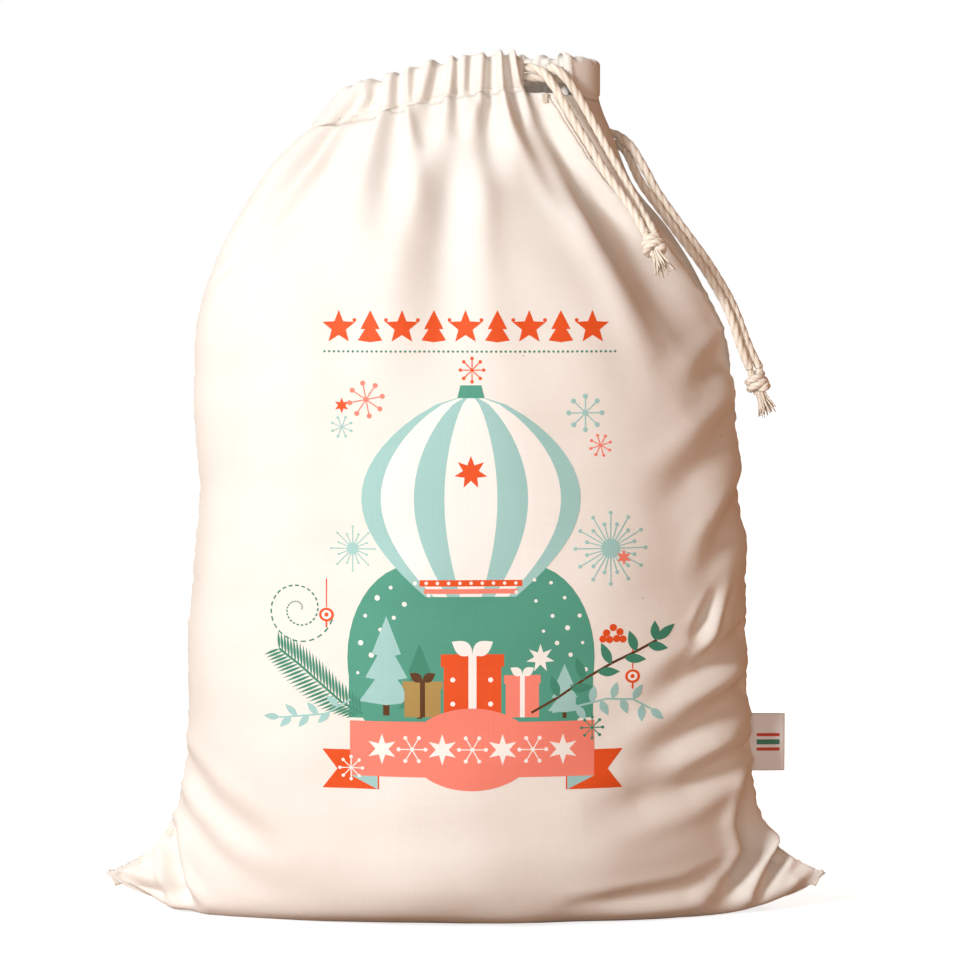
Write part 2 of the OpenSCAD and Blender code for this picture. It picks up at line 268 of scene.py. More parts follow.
# %% The weave group
def make_weave_group():
    """Plain weave in flat-cloth coordinates: a height, and a mask that is dark between threads, for painted
    shade there.
    """
    group, start, end = new_group(
        "plain_weave",
        [("Thread Pitch", "NodeSocketFloat", 0.0008), ("Unevenness", "NodeSocketFloat", 0.35)],
        [("Height", "NodeSocketFloat"), ("Gaps", "NodeSocketFloat"), ("Slub", "NodeSocketFloat")])
    uv = add_node(group, "ShaderNodeUVMap", uv_map="UVMap").outputs[0]
    drift = noise(group, uv, 160.0, 1.0)
    shift = add_node(group, "ShaderNodeVectorMath", {0: drift.outputs["Color"], 1: (0.5, 0.5, 0.5)},
                     operation="SUBTRACT").outputs[0]
    reach = maths(group, "MULTIPLY", start.outputs["Thread Pitch"], start.outputs["Unevenness"])
    scaled = add_node(group, "ShaderNodeVectorMath", {0: shift}, operation="SCALE")
    group.links.new(reach, scaled.inputs["Scale"])
    moved = add_node(group, "ShaderNodeVectorMath", {0: uv, 1: scaled.outputs[0]}).outputs[0]
    parts = add_node(group, "ShaderNodeSeparateXYZ", {0: moved})
    across = maths(group, "DIVIDE", parts.outputs[0], start.outputs["Thread Pitch"])
    along = maths(group, "DIVIDE", parts.outputs[1], start.outputs["Thread Pitch"])
    warp = maths(group, "ABSOLUTE", maths(group, "SINE", maths(group, "MULTIPLY", across, math.pi)))
    weft = maths(group, "ABSOLUTE", maths(group, "SINE", maths(group, "MULTIPLY", along, math.pi)))
    cell = maths(group, "ADD", maths(group, "FLOOR", across), maths(group, "FLOOR", along))
    odd = maths(group, "PINGPONG", cell, 1.0)
    over = maths(group, "MULTIPLY", warp, maths(group, "ADD", maths(group, "MULTIPLY", weft, 0.5), 0.5))
    under = maths(group, "MULTIPLY", weft, maths(group, "ADD", maths(group, "MULTIPLY", warp, 0.5), 0.5))
    flip = maths(group, "SUBTRACT", 1.0, odd)
    height = maths(group, "ADD", maths(group, "MULTIPLY", over, odd), maths(group, "MULTIPLY", under, flip))
    group.links.new(height, end.inputs["Height"])
    group.links.new(maths(group, "MULTIPLY", warp, weft), end.inputs["Gaps"])
    stretch = add_node(group, "ShaderNodeMapping", {"Vector": uv, "Scale": (900.0, 26.0, 1.0)})
    long_slub = noise(group, stretch.outputs[0], 1.0, 2.0)
    turned = add_node(group, "ShaderNodeMapping", {"Vector": uv, "Scale": (26.0, 900.0, 1.0)})
    cross_slub = noise(group, turned.outputs[0], 1.0, 2.0)
    slub = maths(group, "ADD", long_slub.outputs[0], cross_slub.outputs[0])
    group.links.new(maths(group, "MULTIPLY", slub, 0.5), end.inputs["Slub"])
    return group


weave_group = make_weave_group()


# %% [markdown]
# ## Calico
# Unbleached calico is a warm white plain weave with thicker and thinner threads, faint cloudy
# shade, and a few dark flecks of seed husk. The colour comes from noise in the flat cloth's own
# coordinates, so it bends with every fold.

# %% The calico material
THREAD_PITCH = 0.0008


def principled(name):
    """A new material with its tree, its shader and a bump node that feeds the shader."""
    material = bpy.data.materials.new(name)
    material.use_nodes = True
    tree = material.node_tree
    shader = tree.nodes["Principled BSDF"]
    bump = add_node(tree, "ShaderNodeBump", {"Strength": 0.35, "Distance": 0.0002})
    tree.links.new(bump.outputs[0], shader.inputs["Normal"])
    return material, tree, shader, bump


def calico(name, light, dark):
    """Cotton cloth between two shades."""
    material, tree, shader, bump = principled(name)
    weave = add_node(tree, "ShaderNodeGroup", node_tree=weave_group)
    weave.inputs["Thread Pitch"].default_value = THREAD_PITCH
    uv = add_node(tree, "ShaderNodeUVMap", uv_map="UVMap").outputs[0]
    cloud = noise(tree, uv, 14.0, 3.0)
    shade = maths(tree, "MULTIPLY_ADD", weave.outputs["Slub"], 1.1, -0.25)
    shade = maths(tree, "MULTIPLY_ADD", cloud.outputs[0], 0.5, shade)
    base = mix_colour(tree, shade, (*dark, 1), (*light, 1))
    # Painted shade: between the threads the colour is darkened to a deeper tone, where the weave's gaps fall
    # into shade.
    deep = tuple(c * 0.8 for c in dark)
    gap_shade = maths(tree, "MULTIPLY_ADD", weave.outputs["Gaps"], -0.35, 0.35)
    base = mix_colour(tree, gap_shade, base, (*deep, 1))
    spots = add_node(tree, "ShaderNodeTexVoronoi", {"Vector": uv, "Scale": 42.0, "Randomness": 1.0})
    near = maths(tree, "LESS_THAN", spots.outputs["Distance"], 0.035)
    pick = add_node(tree, "ShaderNodeSeparateColor", {0: spots.outputs["Color"]})
    rare = maths(tree, "LESS_THAN", pick.outputs[0], 0.22)
    fleck = maths(tree, "MULTIPLY", maths(tree, "MULTIPLY", near, rare), 0.55)
    base = mix_colour(tree, fleck, base, (0.23, 0.15, 0.08, 1))
    tree.links.new(base, shader.inputs["Base Color"])
    rumple = noise(tree, uv, 48.0, 4.0, Distortion=0.5)
    relief = maths(tree, "MULTIPLY_ADD", rumple.outputs[0], 4.0, weave.outputs["Height"])
    tree.links.new(relief, bump.inputs["Height"])
    rough = maths(tree, "MULTIPLY_ADD", weave.outputs["Slub"], 0.2, 0.75)
    tree.links.new(rough, shader.inputs["Roughness"])
    shader.inputs["Sheen Weight"].default_value = 0.25
    shader.inputs["Sheen Roughness"].default_value = 0.5
    shader.inputs["Specular IOR Level"].default_value = 0.15
    return material


CALICO_LIGHT = (0.90, 0.889, 0.858)
CALICO_DARK = (0.82, 0.788, 0.728)
calico_material = calico("calico", CALICO_LIGHT, CALICO_DARK)
# The seam allowances get a darker copy of the calico: painted shade for cloth that lies inside the sack.
seam_shaded_material = calico("calico_seam_shaded", (0.87, 0.845, 0.79), (0.76, 0.72, 0.64))
print("materials", calico_material.name, "and", seam_shaded_material.name)

# %% [markdown]
# ## The shape of the filled sack
# A flat bag that is filled becomes nearly round in the middle and stays flat at its four corners.
# The two lower corners stand out as ears, because the floor seam meets the side seams there. The
# shape is worked out from cross-sections, one for each height on the flat cloth, joined smoothly.
# The cloth isn't simulated: it has to meet the cords, gaps and seams at the frame's fixed places.

# %% Sections of the body
SACK_H = cad_box[1].z
# Each section: height at the middle, height at the side seams, half width, half depth,
# sharpness of the sides, turn of the right seam and of the left seam in degrees, shift of the centre
SECTIONS = [
    (0.0, 24, 250, 0, 1.0, 0, 0, 0),
    (0.0, 30, 238, 66, 1.8, 0, 0, 0),
    (9.0, 36, 227, 92, 1.85, 0, 0, 0),
    (24, 46, 214, 107, 1.75, 0, 0, 0),
    (45, 60, 206, 115, 1.45, 0, 0, 0.5),
    (75, 84, 199.5, 119.5, 1.2, 0, 0, 1.5),
    (120, 124, 195, 123, 1.02, 0, 0, 2.5),
    (200, 202, 193, 124, 0.92, 0, 0, 1.5),
    (247, 247, 190.5, 123.5, 0.9, 0, 0, 3),
    (289, 290, 186, 121.5, 0.9, 0, 0, 3),
    (360, 360, 185.5, 115, 0.9, 2, 0, 0),
    (410, 410, 179.5, 106.6, 0.95, 6, -2, -4),
    (445, 445, 162, 96.7, 1.0, 12, -6, -7),
    (475, 475, 142, 83, 1.0, 20, -11, -7),
    (501.5, 501.5, 120, 68.2, 1.0, 30, -18, -5),
]
MOUTH_X = 4 * MM
MOUTH_RX, MOUTH_RY = 80 * MM, 30 * MM
CASING_H, CASING_T = 26 * MM, 13 * MM
RIGHT_GAP = (296, 318)
LEFT_GAP = (136, 164)
RIM_RX = MOUTH_RX + CASING_T / 2 + 0.5 * MM
RIM_RY = MOUTH_RY + CASING_T / 2 + 1.5 * MM
COLUMNS = 200
ROW_STEP = 3.2 * MM


def casing_level(x):
    """Middle height of the casing above a point x."""
    return SACK_H - CASING_H / 2 - 27 * MM * ((x - 38 * MM) / (118 * MM)) ** 2


def lean_shoulder(points):
    """Leans the front left shoulder out, where the cloth runs straight from the hem to the body."""
    height = points[..., 2] / MM
    angle = np.degrees(np.arctan2(points[..., 1] / 0.55, points[..., 0])) % 360
    out = np.interp(height, (400, 430, 450, 470, 490, 510, 531, 545, 553, 561, 575),
                    (0, 4, 7, 10, 14, 19, 24, 21, 14, 7, 0))
    moved = np.array(points)
    moved[..., 0] -= out * np.exp(-((angle - 198) / 30) ** 2) * MM
    return moved


def column_angles(section, front):
    """Angles of the columns of one panel on a section, evenly spaced along the cloth at mid height."""
    dense = np.linspace(0, 1, 801)
    mid = np.radians(180 + 180 * dense)
    length = np.r_[0, np.cumsum(np.hypot(np.diff(188 * np.cos(mid)), np.diff(121 * np.sin(mid))))]
    share = np.interp(np.linspace(0, 1, COLUMNS + 1), length / length[-1], dense)
    right_turn, left_turn = section
    first = 180 + left_turn
    last = 360 - right_turn if front else -right_turn
    return np.radians(first + (last - first) * share)


def section_points(section, front):
    """One cross-section of a panel, from the left seam to the right seam."""
    z_mid, z_side, rx, ry, sharp, right_turn, left_turn, shift = section
    a = column_angles((right_turn, left_turn), front)
    c, s = np.cos(a), np.sin(a)
    lift = (z_side - z_mid) * np.abs(c) ** 9
    y = ry * np.sign(s) * np.abs(s) ** sharp
    return np.stack([rx * c + shift, y, z_mid + lift], 1) * MM


def rim_points(front):
    """The edge of the body just under the casing."""
    right_seam, left_seam = sum(RIGHT_GAP) / 2, sum(LEFT_GAP) / 2
    a = column_angles((360 - right_seam, left_seam - 180), front)
    x = MOUTH_X + RIM_RX * np.cos(a)
    return np.stack([x, RIM_RY * np.sin(a), casing_level(x) - CASING_H / 2], 1)


def loft():
    """The smooth body surface of both panels: rows of points for each, and each row's flat height."""
    sides = [np.array([section_points(s, front) for s in SECTIONS] + [rim_points(front)])
             for front in (True, False)]
    steps = np.mean([np.linalg.norm(np.diff(k, axis=0), axis=2)[:, COLUMNS // 5:-COLUMNS // 5].mean(1)
                     for k in sides], axis=0)
    t = np.r_[0, np.cumsum(steps)]
    rows = np.linspace(0, t[-1], int(t[-1] / ROW_STEP))
    k = np.clip(np.searchsorted(t, rows, side="right") - 1, 0, len(steps) - 1)
    h = steps[k][:, None, None]
    f = ((rows - t[k]) / steps[k])[:, None, None]
    share = (steps[:-1] / (steps[:-1] + steps[1:]))[:, None, None]
    grids = []
    for knots in sides:
        slopes = np.diff(knots, axis=0) / steps[:, None, None]
        tangents = np.empty_like(knots)
        tangents[0], tangents[-1] = slopes[0], slopes[-1]
        tangents[1:-1] = slopes[:-1] * (1 - share) + slopes[1:] * share
        grid = ((2 * f ** 3 - 3 * f ** 2 + 1) * knots[k] + (f ** 3 - 2 * f ** 2 + f) * h * tangents[k]
                + (3 * f ** 2 - 2 * f ** 3) * knots[k + 1] + (f ** 3 - f ** 2) * h * tangents[k + 1])
        grid[:, :, 2] = np.maximum(grid[:, :, 2], 0)
        grids.append(lean_shoulder(grid))
    return grids, rows


# %% [markdown]
# ## Pleats and creases
# Cloth drawn on a cord falls into pleats that are narrow and deep at the cord and widen and fade
# down the body. Each pleat is a valley along a line drawn on the front view, with a width and a
# depth at its two ends. A soft ridge on each side of a valley is the cloth that it pushed aside.

# %% Pleats on the front and the back, in millimetres seen from the front
# Each: points (x, z) down the valley, widths along it, depths along it (a negative depth is a ridge)
FRONT_PLEATS = [
    ([(-72, 560), (-97, 520), (-124, 478), (-140, 450)], (3, 8, 14, 18), (3.5, 5, 4, 0)),
    ([(-58, 590), (-62, 556), (-86, 515), (-107, 476), (-122, 440)], (3, 4, 12, 20, 24), (4, 6, 8, 6, 0)),
    ([(-44, 590), (-45, 552), (-49, 528), (-54, 500), (-60, 466)], (2.6, 3.5, 8, 11, 15), (6, 7, 8, 7, 0)),
    ([(-33, 590), (-35, 562), (-38, 540)], (2.6, 3.4, 6), (1.6, 2.4, 0)),
    ([(-14, 592), (-20, 562), (-26, 537), (-32, 500)], (3.6, 4.6, 9, 13), (7.5, 9, 9, 0)),
    ([(-6, 592), (-5, 566), (-5, 539), (-10, 490), (-15, 450), (-18, 396), (-16, 350)],
     (2, 3, 8, 12, 15, 20, 24), (1.2, 3, 8, 9.5, 8, 5, 0)),
    ([(5, 592), (3, 566), (6, 540)], (2.4, 3, 5), (2.2, 3.6, 0)),
    ([(18, 592), (18, 557), (15, 528), (12, 496)], (3, 4, 10, 13), (8, 10, 9, 0)),
    ([(28, 592), (31, 570), (41, 545), (62, 512), (86, 480), (104, 450)],
     (2.4, 3.5, 6, 8, 9, 11), (6, 8, 8, 6, 4, 0)),
    ([(36, 592), (42, 572), (56, 547), (82, 510), (106, 471), (128, 434), (150, 398), (166, 366)],
     (2.4, 4, 7, 9, 12, 14, 17, 20), (6, 9, 14, 16, 16, 13, 9, 0)),
    ([(72, 552), (90, 522), (112, 484), (140, 446), (166, 410), (184, 372)],
     (4, 6, 9, 11, 13, 15), (3, 7, 9, 8, 6, 0)),
    ([(-174, 436), (-150, 465), (-122, 496), (-86, 539), (-62, 566)],
     (2.6, 2.2, 2, 2, 2), (0, -2.4, -3, -2.8, -1)),
    ([(-178, 418), (-154, 450), (-128, 484), (-104, 514), (-80, 550)],
     (2.6, 2.2, 2, 2, 2), (0, -2.2, -2.8, -2.4, -1)),
    ([(-176, 428), (-152, 458), (-125, 490), (-95, 526), (-71, 558)], (6, 6, 6, 6, 5), (0, 3, 3.6, 3.2, 1)),
    ([(-206, 56), (-202, 34), (-198, 18), (-188, 4)], (5, 5, 5, 6), (6, 13, 13, 4)),
    ([(-244, 27), (-222, 24), (-202, 26)], (2, 4, 5), (0, -3.5, -1)),
    ([(-236, 16), (-216, 12), (-200, 12)], (3, 4, 5), (0, 5, 3)),
    ([(198, 96), (194, 66), (198, 44), (190, 26), (177, 12)], (6, 7, 6, 6, 8), (5, 14, 15, 13, 3)),
    ([(214, 66), (208, 44), (194, 22)], (4, 6, 6), (-1, -5, 0)),
    ([(226, 52), (216, 34), (204, 16)], (4, 5, 5), (3, 8, 3)),
    ([(243, 28), (228, 20), (214, 10)], (2, 4, 4), (0, -4, 0)),
    ([(200, 160), (180, 148), (159, 138), (134, 120), (106, 100)], (6, 9, 11, 12, 13), (6, 9, 8.5, 6, 0)),
    ([(200, 116), (179, 107), (150, 95), (118, 87), (78, 82)], (5, 8, 10, 11, 13), (5, 8, 7, 5, 0)),
    ([(200, 200), (176, 184), (146, 168), (118, 146)], (5, 8, 10, 12), (5, 7, 6, 0)),
    ([(170, 228), (161, 208), (152, 192)], (3, 4, 5), (0, 5, 0)),
    ([(180, 234), (171, 214), (161, 190), (150, 174)], (3, 3.5, 4, 5), (0, -4, -3.5, 0)),
    ([(196, 300), (176, 262), (158, 226)], (6, 9, 9), (4, 6, 0)),
    ([(192, 350), (176, 330), (150, 300), (124, 274)], (6, 10, 13, 15), (4, 6, 5, 0)),
    ([(190, 395), (168, 372), (146, 350)], (6, 9, 12), (3, 5, 0)),
    ([(-196, 110), (-176, 84), (-148, 62), (-118, 46)], (6, 9, 10, 12), (3, 4, 3, 0)),
    ([(-200, 80), (-170, 44), (-130, 24)], (5, 8, 10), (2, 3, 0)),
    ([(60, 14), (100, 18), (150, 22), (188, 36)], (5, 6, 6, 6), (0, 3.5, 4, 1)),
]
BACK_PLEATS = [
    ([(150, 398), (118, 470), (86, 525), (66, 560), (62, 590)], (16, 12, 8, 4, 3), (0, 5, 6, 6, 5)),
    ([(96, 420), (78, 480), (56, 540), (48, 590)], (14, 11, 6, 3), (0, 4.5, 6, 6)),
    ([(50, 476), (42, 520), (36, 560), (34, 592)], (10, 8, 4, 3), (0, 4, 6, 6)),
    ([(14, 380), (16, 450), (20, 520), (20, 560), (20, 592)], (18, 13, 8, 4, 3), (0, 4, 5, 7, 7)),
    ([(-8, 500), (-2, 540), (4, 592)], (9, 6, 3), (0, 4, 5)),
    ([(-46, 410), (-34, 470), (-20, 530), (-14, 590)], (15, 12, 7, 3), (0, 5, 5, 7)),
    ([(-60, 500), (-44, 540), (-30, 590)], (8, 5, 3), (0, 4, 5)),
    ([(-128, 396), (-96, 456), (-66, 516), (-50, 550), (-46, 584)], (16, 13, 9, 5, 3), (0, 6, 6, 6, 5)),
    ([(-110, 500), (-84, 530), (-64, 556)], (9, 7, 4), (0, 4, 4)),
    ([(206, 56), (202, 34), (198, 18), (188, 4)], (5, 5, 5, 6), (4, 8, 9, 3)),
    ([(244, 27), (222, 24), (202, 26)], (2, 4, 5), (0, -2.5, -1)),
    ([(-198, 90), (-194, 60), (-198, 42), (-190, 24), (-177, 12)], (5, 6, 6, 6, 7), (3, 9, 10, 9, 2)),
    ([(-226, 52), (-216, 34), (-204, 16)], (4, 5, 5), (2, 5, 2)),
    ([(-200, 150), (-170, 128), (-130, 104)], (6, 9, 12), (3.5, 4, 0)),
    ([(200, 130), (176, 106), (140, 84)], (6, 9, 12), (3, 3.5, 0)),
    ([(194, 290), (170, 262), (130, 240)], (7, 10, 13), (3, 3.5, 0)),
    ([(-192, 320), (-160, 286), (-126, 262)], (7, 10, 13), (3, 3.5, 0)),
]
print("pleats and creases:", len(FRONT_PLEATS), "in front,", len(BACK_PLEATS), "behind")


def crease_field(points, creases):
    """How far the cloth is pushed in at each point, from all the creases of one side."""
    x, z = points[..., 0] / MM, points[..., 2] / MM
    total = np.zeros(x.shape)
    for line, widths, depths in creases:
        best = np.full(x.shape, 1e9)
        width, depth = np.ones(x.shape), np.zeros(x.shape)
        for i in range(len(line) - 1):
            (ax, az), (bx, bz) = line[i], line[i + 1]
            dx, dz = bx - ax, bz - az
            t = np.clip(((x - ax) * dx + (z - az) * dz) / (dx * dx + dz * dz), 0, 1)
            away = np.hypot(x - ax - t * dx, z - az - t * dz)
            nearer = away < best
            best = np.where(nearer, away, best)
            width = np.where(nearer, widths[i] + (widths[i + 1] - widths[i]) * t, width)
            depth = np.where(nearer, depths[i] + (depths[i + 1] - depths[i]) * t, depth)
        reach = best / width
        total += depth * (np.exp(-reach ** 2) - 0.32 * np.exp(-((reach - 1.9) / 0.8) ** 2))
    return total * MM


# %% Slow undulation of hand-filled cloth
def undulation(points, seed, size=1.0 * MM):
    """A sum of long soft waves in a few directions, the same on every run."""
    rng = np.random.default_rng(seed)
    total = np.zeros(points.shape[:-1])
    for _ in range(14):
        direction = rng.normal(size=3)
        direction /= np.linalg.norm(direction)
        wave = rng.uniform(38, 110) * MM
        total += np.sin(points @ direction * (2 * math.pi / wave) + rng.uniform(0, 6.3)) * wave / (70 * MM)
    return total * size / 3.2


def outward(grid, front):
    """Unit normals of a grid of points, pointing out of the sack."""
    normals = np.cross(np.gradient(grid, axis=1), np.gradient(grid, axis=0))
    normals /= np.linalg.norm(normals, axis=2)[:, :, None] + 1e-12
    return normals if front else -normals


def seam_pull(u, rows, seed):
    """A seam is tighter than its cloth, so it sinks a little and puckers the cloth beside it."""
    rng = np.random.default_rng(seed)
    edge = np.minimum(u, 1 - u) * 500
    pucker = np.zeros(len(rows))
    for wave in (9.0, 13.0, 21.0):
        pucker += np.sin(rows / MM * 2 * math.pi / wave + rng.uniform(0, 6.3))
    return (1.3 * np.exp(-(edge / 3.5) ** 2)[None, :]
            + 0.35 * pucker[:, None] * np.exp(-((edge - 5) / 7) ** 2)[None, :]) * MM


# %% [markdown]
# The hem is the top of the same sheet, folded down inside and sewn, with the cords in the channel.
# So its rows are added above the panel's last row before anything is pushed in, and each pleat
# then runs over the hem without a break. Between the cord and the cloth there is little room, so
# there the pleats are limited to what a cord lets through.

# %% Add the hem's rows, push in the pleats and split the sheet again
RIM_A = {front: column_angles((360 - sum(RIGHT_GAP) / 2, sum(LEFT_GAP) / 2 - 180), front)
         for front in (True, False)}
CORD_ROOM = 3.7 * MM
STITCH_UP = 3.0 * MM
BACK_HEM_LATER = 2  # degrees left free beside the right gap, where the right back cord turns out


def mouth_point(angle, out, up):
    """A point near the mouth's ring: out is across the hem, up is above the middle of the casing."""
    c, s = np.cos(angle), np.sin(angle)
    x, y = MOUTH_X + MOUTH_RX * c, MOUTH_RY * s
    nx, ny = c / MOUTH_RX, s / MOUTH_RY
    length = np.hypot(nx, ny)
    return lean_shoulder(np.stack([x + nx / length * out, y + ny / length * out, casing_level(x) + up], -1))


def hem_columns(front):
    """First and last column of a panel that carry its hem."""
    angles = np.degrees(RIM_A[front]) % 360
    if front:
        inside = (angles >= LEFT_GAP[1]) & (angles <= RIGHT_GAP[0])
    else:
        inside = (angles <= LEFT_GAP[0]) | (angles >= RIGHT_GAP[1] + BACK_HEM_LATER)
    columns = np.flatnonzero(inside)
    return columns[0], columns[-1] + 1


HALF_H, HALF_T = CASING_H / 2, CASING_T / 2
OUTER_ROWS = [(HALF_T + 0.9 * MM, up) for up in np.linspace(-HALF_H, HALF_H - 3.5 * MM, 13)[1:]]
FOLD_ROWS = [(HALF_T * math.cos(a) + 0.9 * MM * math.cos(a), HALF_H - 3.5 * MM + 4.2 * MM * math.sin(a))
             for a in np.linspace(0, math.pi, 13)[1:-1]]
INNER_ROWS = [(-HALF_T - 0.9 * MM, up) for up in np.linspace(HALF_H - 3.5 * MM, -HALF_H, 12)]


def hem_rows(front, rows):
    first, last = hem_columns(front)
    return np.array([mouth_point(RIM_A[front][first:last], out, up) for out, up in rows])


def inner_pleats(front, along):
    """The free pleats of the hem's inner layer, along the mouth, in millimetres."""
    rng = np.random.default_rng(3 if front else 4)
    total = np.zeros(len(along))
    for wave, size in ((13.0, 2.0), (8.0, 1.0), (21.0, 1.4)):
        drift = rng.uniform(0, 6.3, 2)
        total += size * np.sin(along * 2 * math.pi / wave + drift[0] + 0.9 * np.sin(along / 17 + drift[1]))
    return total


def pushed(grid, rows, front):
    """A panel's final rows and its hem's final rows."""
    first, last = hem_columns(front)
    u = np.linspace(0, 1, COLUMNS + 1)
    pleats = FRONT_PLEATS if front else BACK_PLEATS
    hem = hem_rows(front, OUTER_ROWS)
    lift = np.linspace(2, 20, len(hem))[:, None, None] * MM
    above = np.repeat(grid[-1:], len(hem), 0) + np.array([0, 0, 1]) * lift
    above[:, first:last] = hem
    sheet = np.concatenate([grid, above])
    push = crease_field(sheet, pleats)
    rim_z = grid[-1, :, 2]
    below = np.maximum(rim_z[None, :] - sheet[:, :, 2], 0)
    room = CORD_ROOM + below * 0.45
    push = np.where(push > 0, room * np.tanh(push / room), push)
    near_cord = np.exp(-(below / (16 * MM)) ** 2)
    push -= near_cord * 1.2 * MM * (1 - np.clip(push / CORD_ROOM, 0, 1)) ** 2
    stitch = np.exp(-((sheet[:, :, 2] - rim_z[None, :] - STITCH_UP) / (1.6 * MM)) ** 2)
    push += stitch * 0.9 * MM
    push += undulation(sheet, 5) * (1 - near_cord)
    push *= (1 - np.exp(-(np.minimum(u, 1 - u) * 500 / 9) ** 2))[None, :]
    push[:len(rows)] += seam_pull(u, rows, 11)
    fade = np.clip(sheet[:, :, 2] / (9 * MM), 0, 1)
    moved = sheet - outward(sheet, front) * (push * (0.15 + 0.85 * fade))[:, :, None]
    moved[:, :, 2] = np.maximum(moved[:, :, 2], 0)
    panel = moved[:len(rows)]
    outer = moved[len(rows) - 1:, first:last]
    outer_push = push[-1, first:last]

    angles = RIM_A[front][first:last]
    along = np.r_[0, np.cumsum(np.linalg.norm(np.diff(mouth_point(angles, HALF_T, 0), axis=0), axis=1))] / MM
    inside = inner_pleats(front, along)
    top = mouth_point(angles, OUTER_ROWS[-1][0], OUTER_ROWS[-1][1])
    leaning = outer[-1] - top
    folded = []
    for out, up in FOLD_ROWS + INNER_ROWS:
        share = np.clip((out + HALF_T) / CASING_T, 0, 1)
        deep = -(1.0 + inside) * MM * (1 - share) * (0.75 - 0.25 * up / HALF_H)
        row = mouth_point(angles, out + deep, up) + leaning * share
        crest = np.clip((up + HALF_H) / CASING_H, 0, 1) ** 3
        row[:, 2] += crest * (-0.5 * outer_push + 0.35 * MM * inside)
        folded.append(row)
    for i in range(1, 5):
        outer[-i, :, 2] += (-0.5 * outer_push + 0.35 * MM * inside) * (1 - i / 5)
    return panel, np.concatenate([outer, np.array(folded)]), along * MM


def meet_at_seams(front, back):
    """Puts the side edges of the two panels on the same line, half way between them."""
    for column in (0, -1):
        front[:, column] = back[:, column] = (front[:, column] + back[:, column]) / 2


(smooth_front, smooth_back), panel_rows = loft()
front_grid, front_hem, front_along = pushed(smooth_front, panel_rows, True)
back_grid, back_hem, back_along = pushed(smooth_back, panel_rows, False)
meet_at_seams(front_grid, back_grid)
print("cloth rows", len(panel_rows), "flat length", round(panel_rows[-1], 3), "m")

# %% [markdown]
# ## Where the cords go
# Each cord runs right round the mouth in the two hems and leaves with both ends at one gap. The
# right cord's ends hang straight down the front. The left cord's ends pass behind the neck first.

# %% Routes of the cords outside the hems, in millimetres
RIGHT_FRONT = [(40, -27, 580.3), (46, -27.6, 580.2), (52, -30, 578), (57.5, -34.5, 571), (62.5, -36, 564),
               (68, -36.8, 554), (74, -38, 543.5), (80, -39, 534), (86, -40, 524.5), (91.5, -41.5, 515),
               (97, -43, 506.5), (103, -44.5, 498), (109, -46.5, 489.5), (114, -49.5, 481.5),
               (118, -53.8, 474.3), (121.4, -58.4, 467)]
RIGHT_BACK = [(62.6, -20.5, 579.2), (59.3, -22.7, 579.8), (57.5, -26.5, 580.5), (60, -30.8, 580),
              (64.5, -33.2, 577), (69.5, -32.8, 571.5), (74.5, -30.5, 565), (79, -29, 557.5),
              (88, -29, 541.5), (97, -31, 524.5), (106, -33.5, 508.5), (111, -35.5, 499.5),
              (115.5, -38.5, 491), (119.5, -43, 482.5), (124, -49.5, 474.7), (127.6, -56.8, 468)]
LEFT_LOWER = [(-72.2, 10.3, 549.4), (-70.5, 14.5, 548.8), (-71, 21.5, 545.5), (-70.5, 29, 541),
              (-68.5, 36, 535.5), (-61, 42, 531.5), (-48, 48.4, 530), (-35, 52, 531), (-22, 54.4, 531.5),
              (-8, 57.4, 530), (6, 58.1, 529.5), (20, 57.4, 529.8), (34, 55.6, 530), (48, 52.7, 530),
              (60, 49.2, 530), (72, 44.4, 529.8), (82, 39, 530), (90, 32.2, 531), (96.5, 24.8, 532.5)]
LEFT_UPPER = [(-54.6, 20.9, 557.1), (-58.5, 20.5, 556.2), (-64, 21.8, 553.8), (-70, 25.5, 551),
              (-74, 31, 548.5), (-73, 38, 546), (-67.5, 43, 544), (-59.5, 45, 542.5), (-48, 46.5, 541),
              (-35, 48.8, 540), (-22, 51.4, 539), (-8, 52.8, 539), (6, 53.2, 539.2), (20, 52.6, 539.8),
              (34, 50.8, 540.2), (48, 48, 540.2), (60, 44.4, 540), (72, 39.5, 539.6), (82, 34.2, 539),
              (90, 28.2, 538.8), (96.5, 21.2, 538.6)]
LEFT_FRONT = [(97.6, 23.3, 532.1), (103.8, 15.9, 530.3), (109.5, 6.7, 526.3), (113.3, -2.4, 518.9),
              (116.2, -9.3, 511.2), (121, -13.2, 501.5), (129, -14.6, 490.4), (137.2, -15, 479.4),
              (146.2, -15.5, 467.4), (154.7, -16, 456), (163.3, -16, 444.5), (171.3, -16, 431.5),
              (178.4, -16.3, 419), (183.6, -16.3, 406.5), (187.4, -16, 394.5), (191.7, -15.5, 383),
              (195.4, -13.8, 375.2)]
LEFT_BACK = [(97.2, 20.3, 538.5), (103.2, 12.6, 536.9), (108.8, 4.7, 533.2), (114, -2, 527.8),
             (118.3, -6.3, 520.6), (124.4, -8.7, 509.9), (130.6, -9.9, 498), (138.5, -10.8, 486.4),
             (147.3, -11.4, 474.1), (156, -12, 462.4), (165, -12, 450.2), (174, -12, 436.2),
             (182, -12, 422.2), (187.7, -12, 409.2), (192.2, -11.8, 396.7), (197.2, -11.3, 385),
             (202.2, -10.8, 375.8)]
KNOTS = {"right": ((126.2, -62.8, 459.8), (0.3, -0.5, -0.81)), "left": ((200, -12, 366), (0.35, 0, -0.94))}
TUFT_L = 20 * MM
OUTSIDE = {name: eased(smooth_route(np.array(points) * MM)) for name, points in (
    ("right_tail_front", RIGHT_FRONT), ("right_tail_back", RIGHT_BACK), ("left_wrap_lower", LEFT_LOWER),
    ("left_wrap_upper", LEFT_UPPER), ("left_tail_front", LEFT_FRONT), ("left_tail_back", LEFT_BACK))}
for name, line in OUTSIDE.items():
    print(name, round(line_length(line) * 1000, 1), "mm")

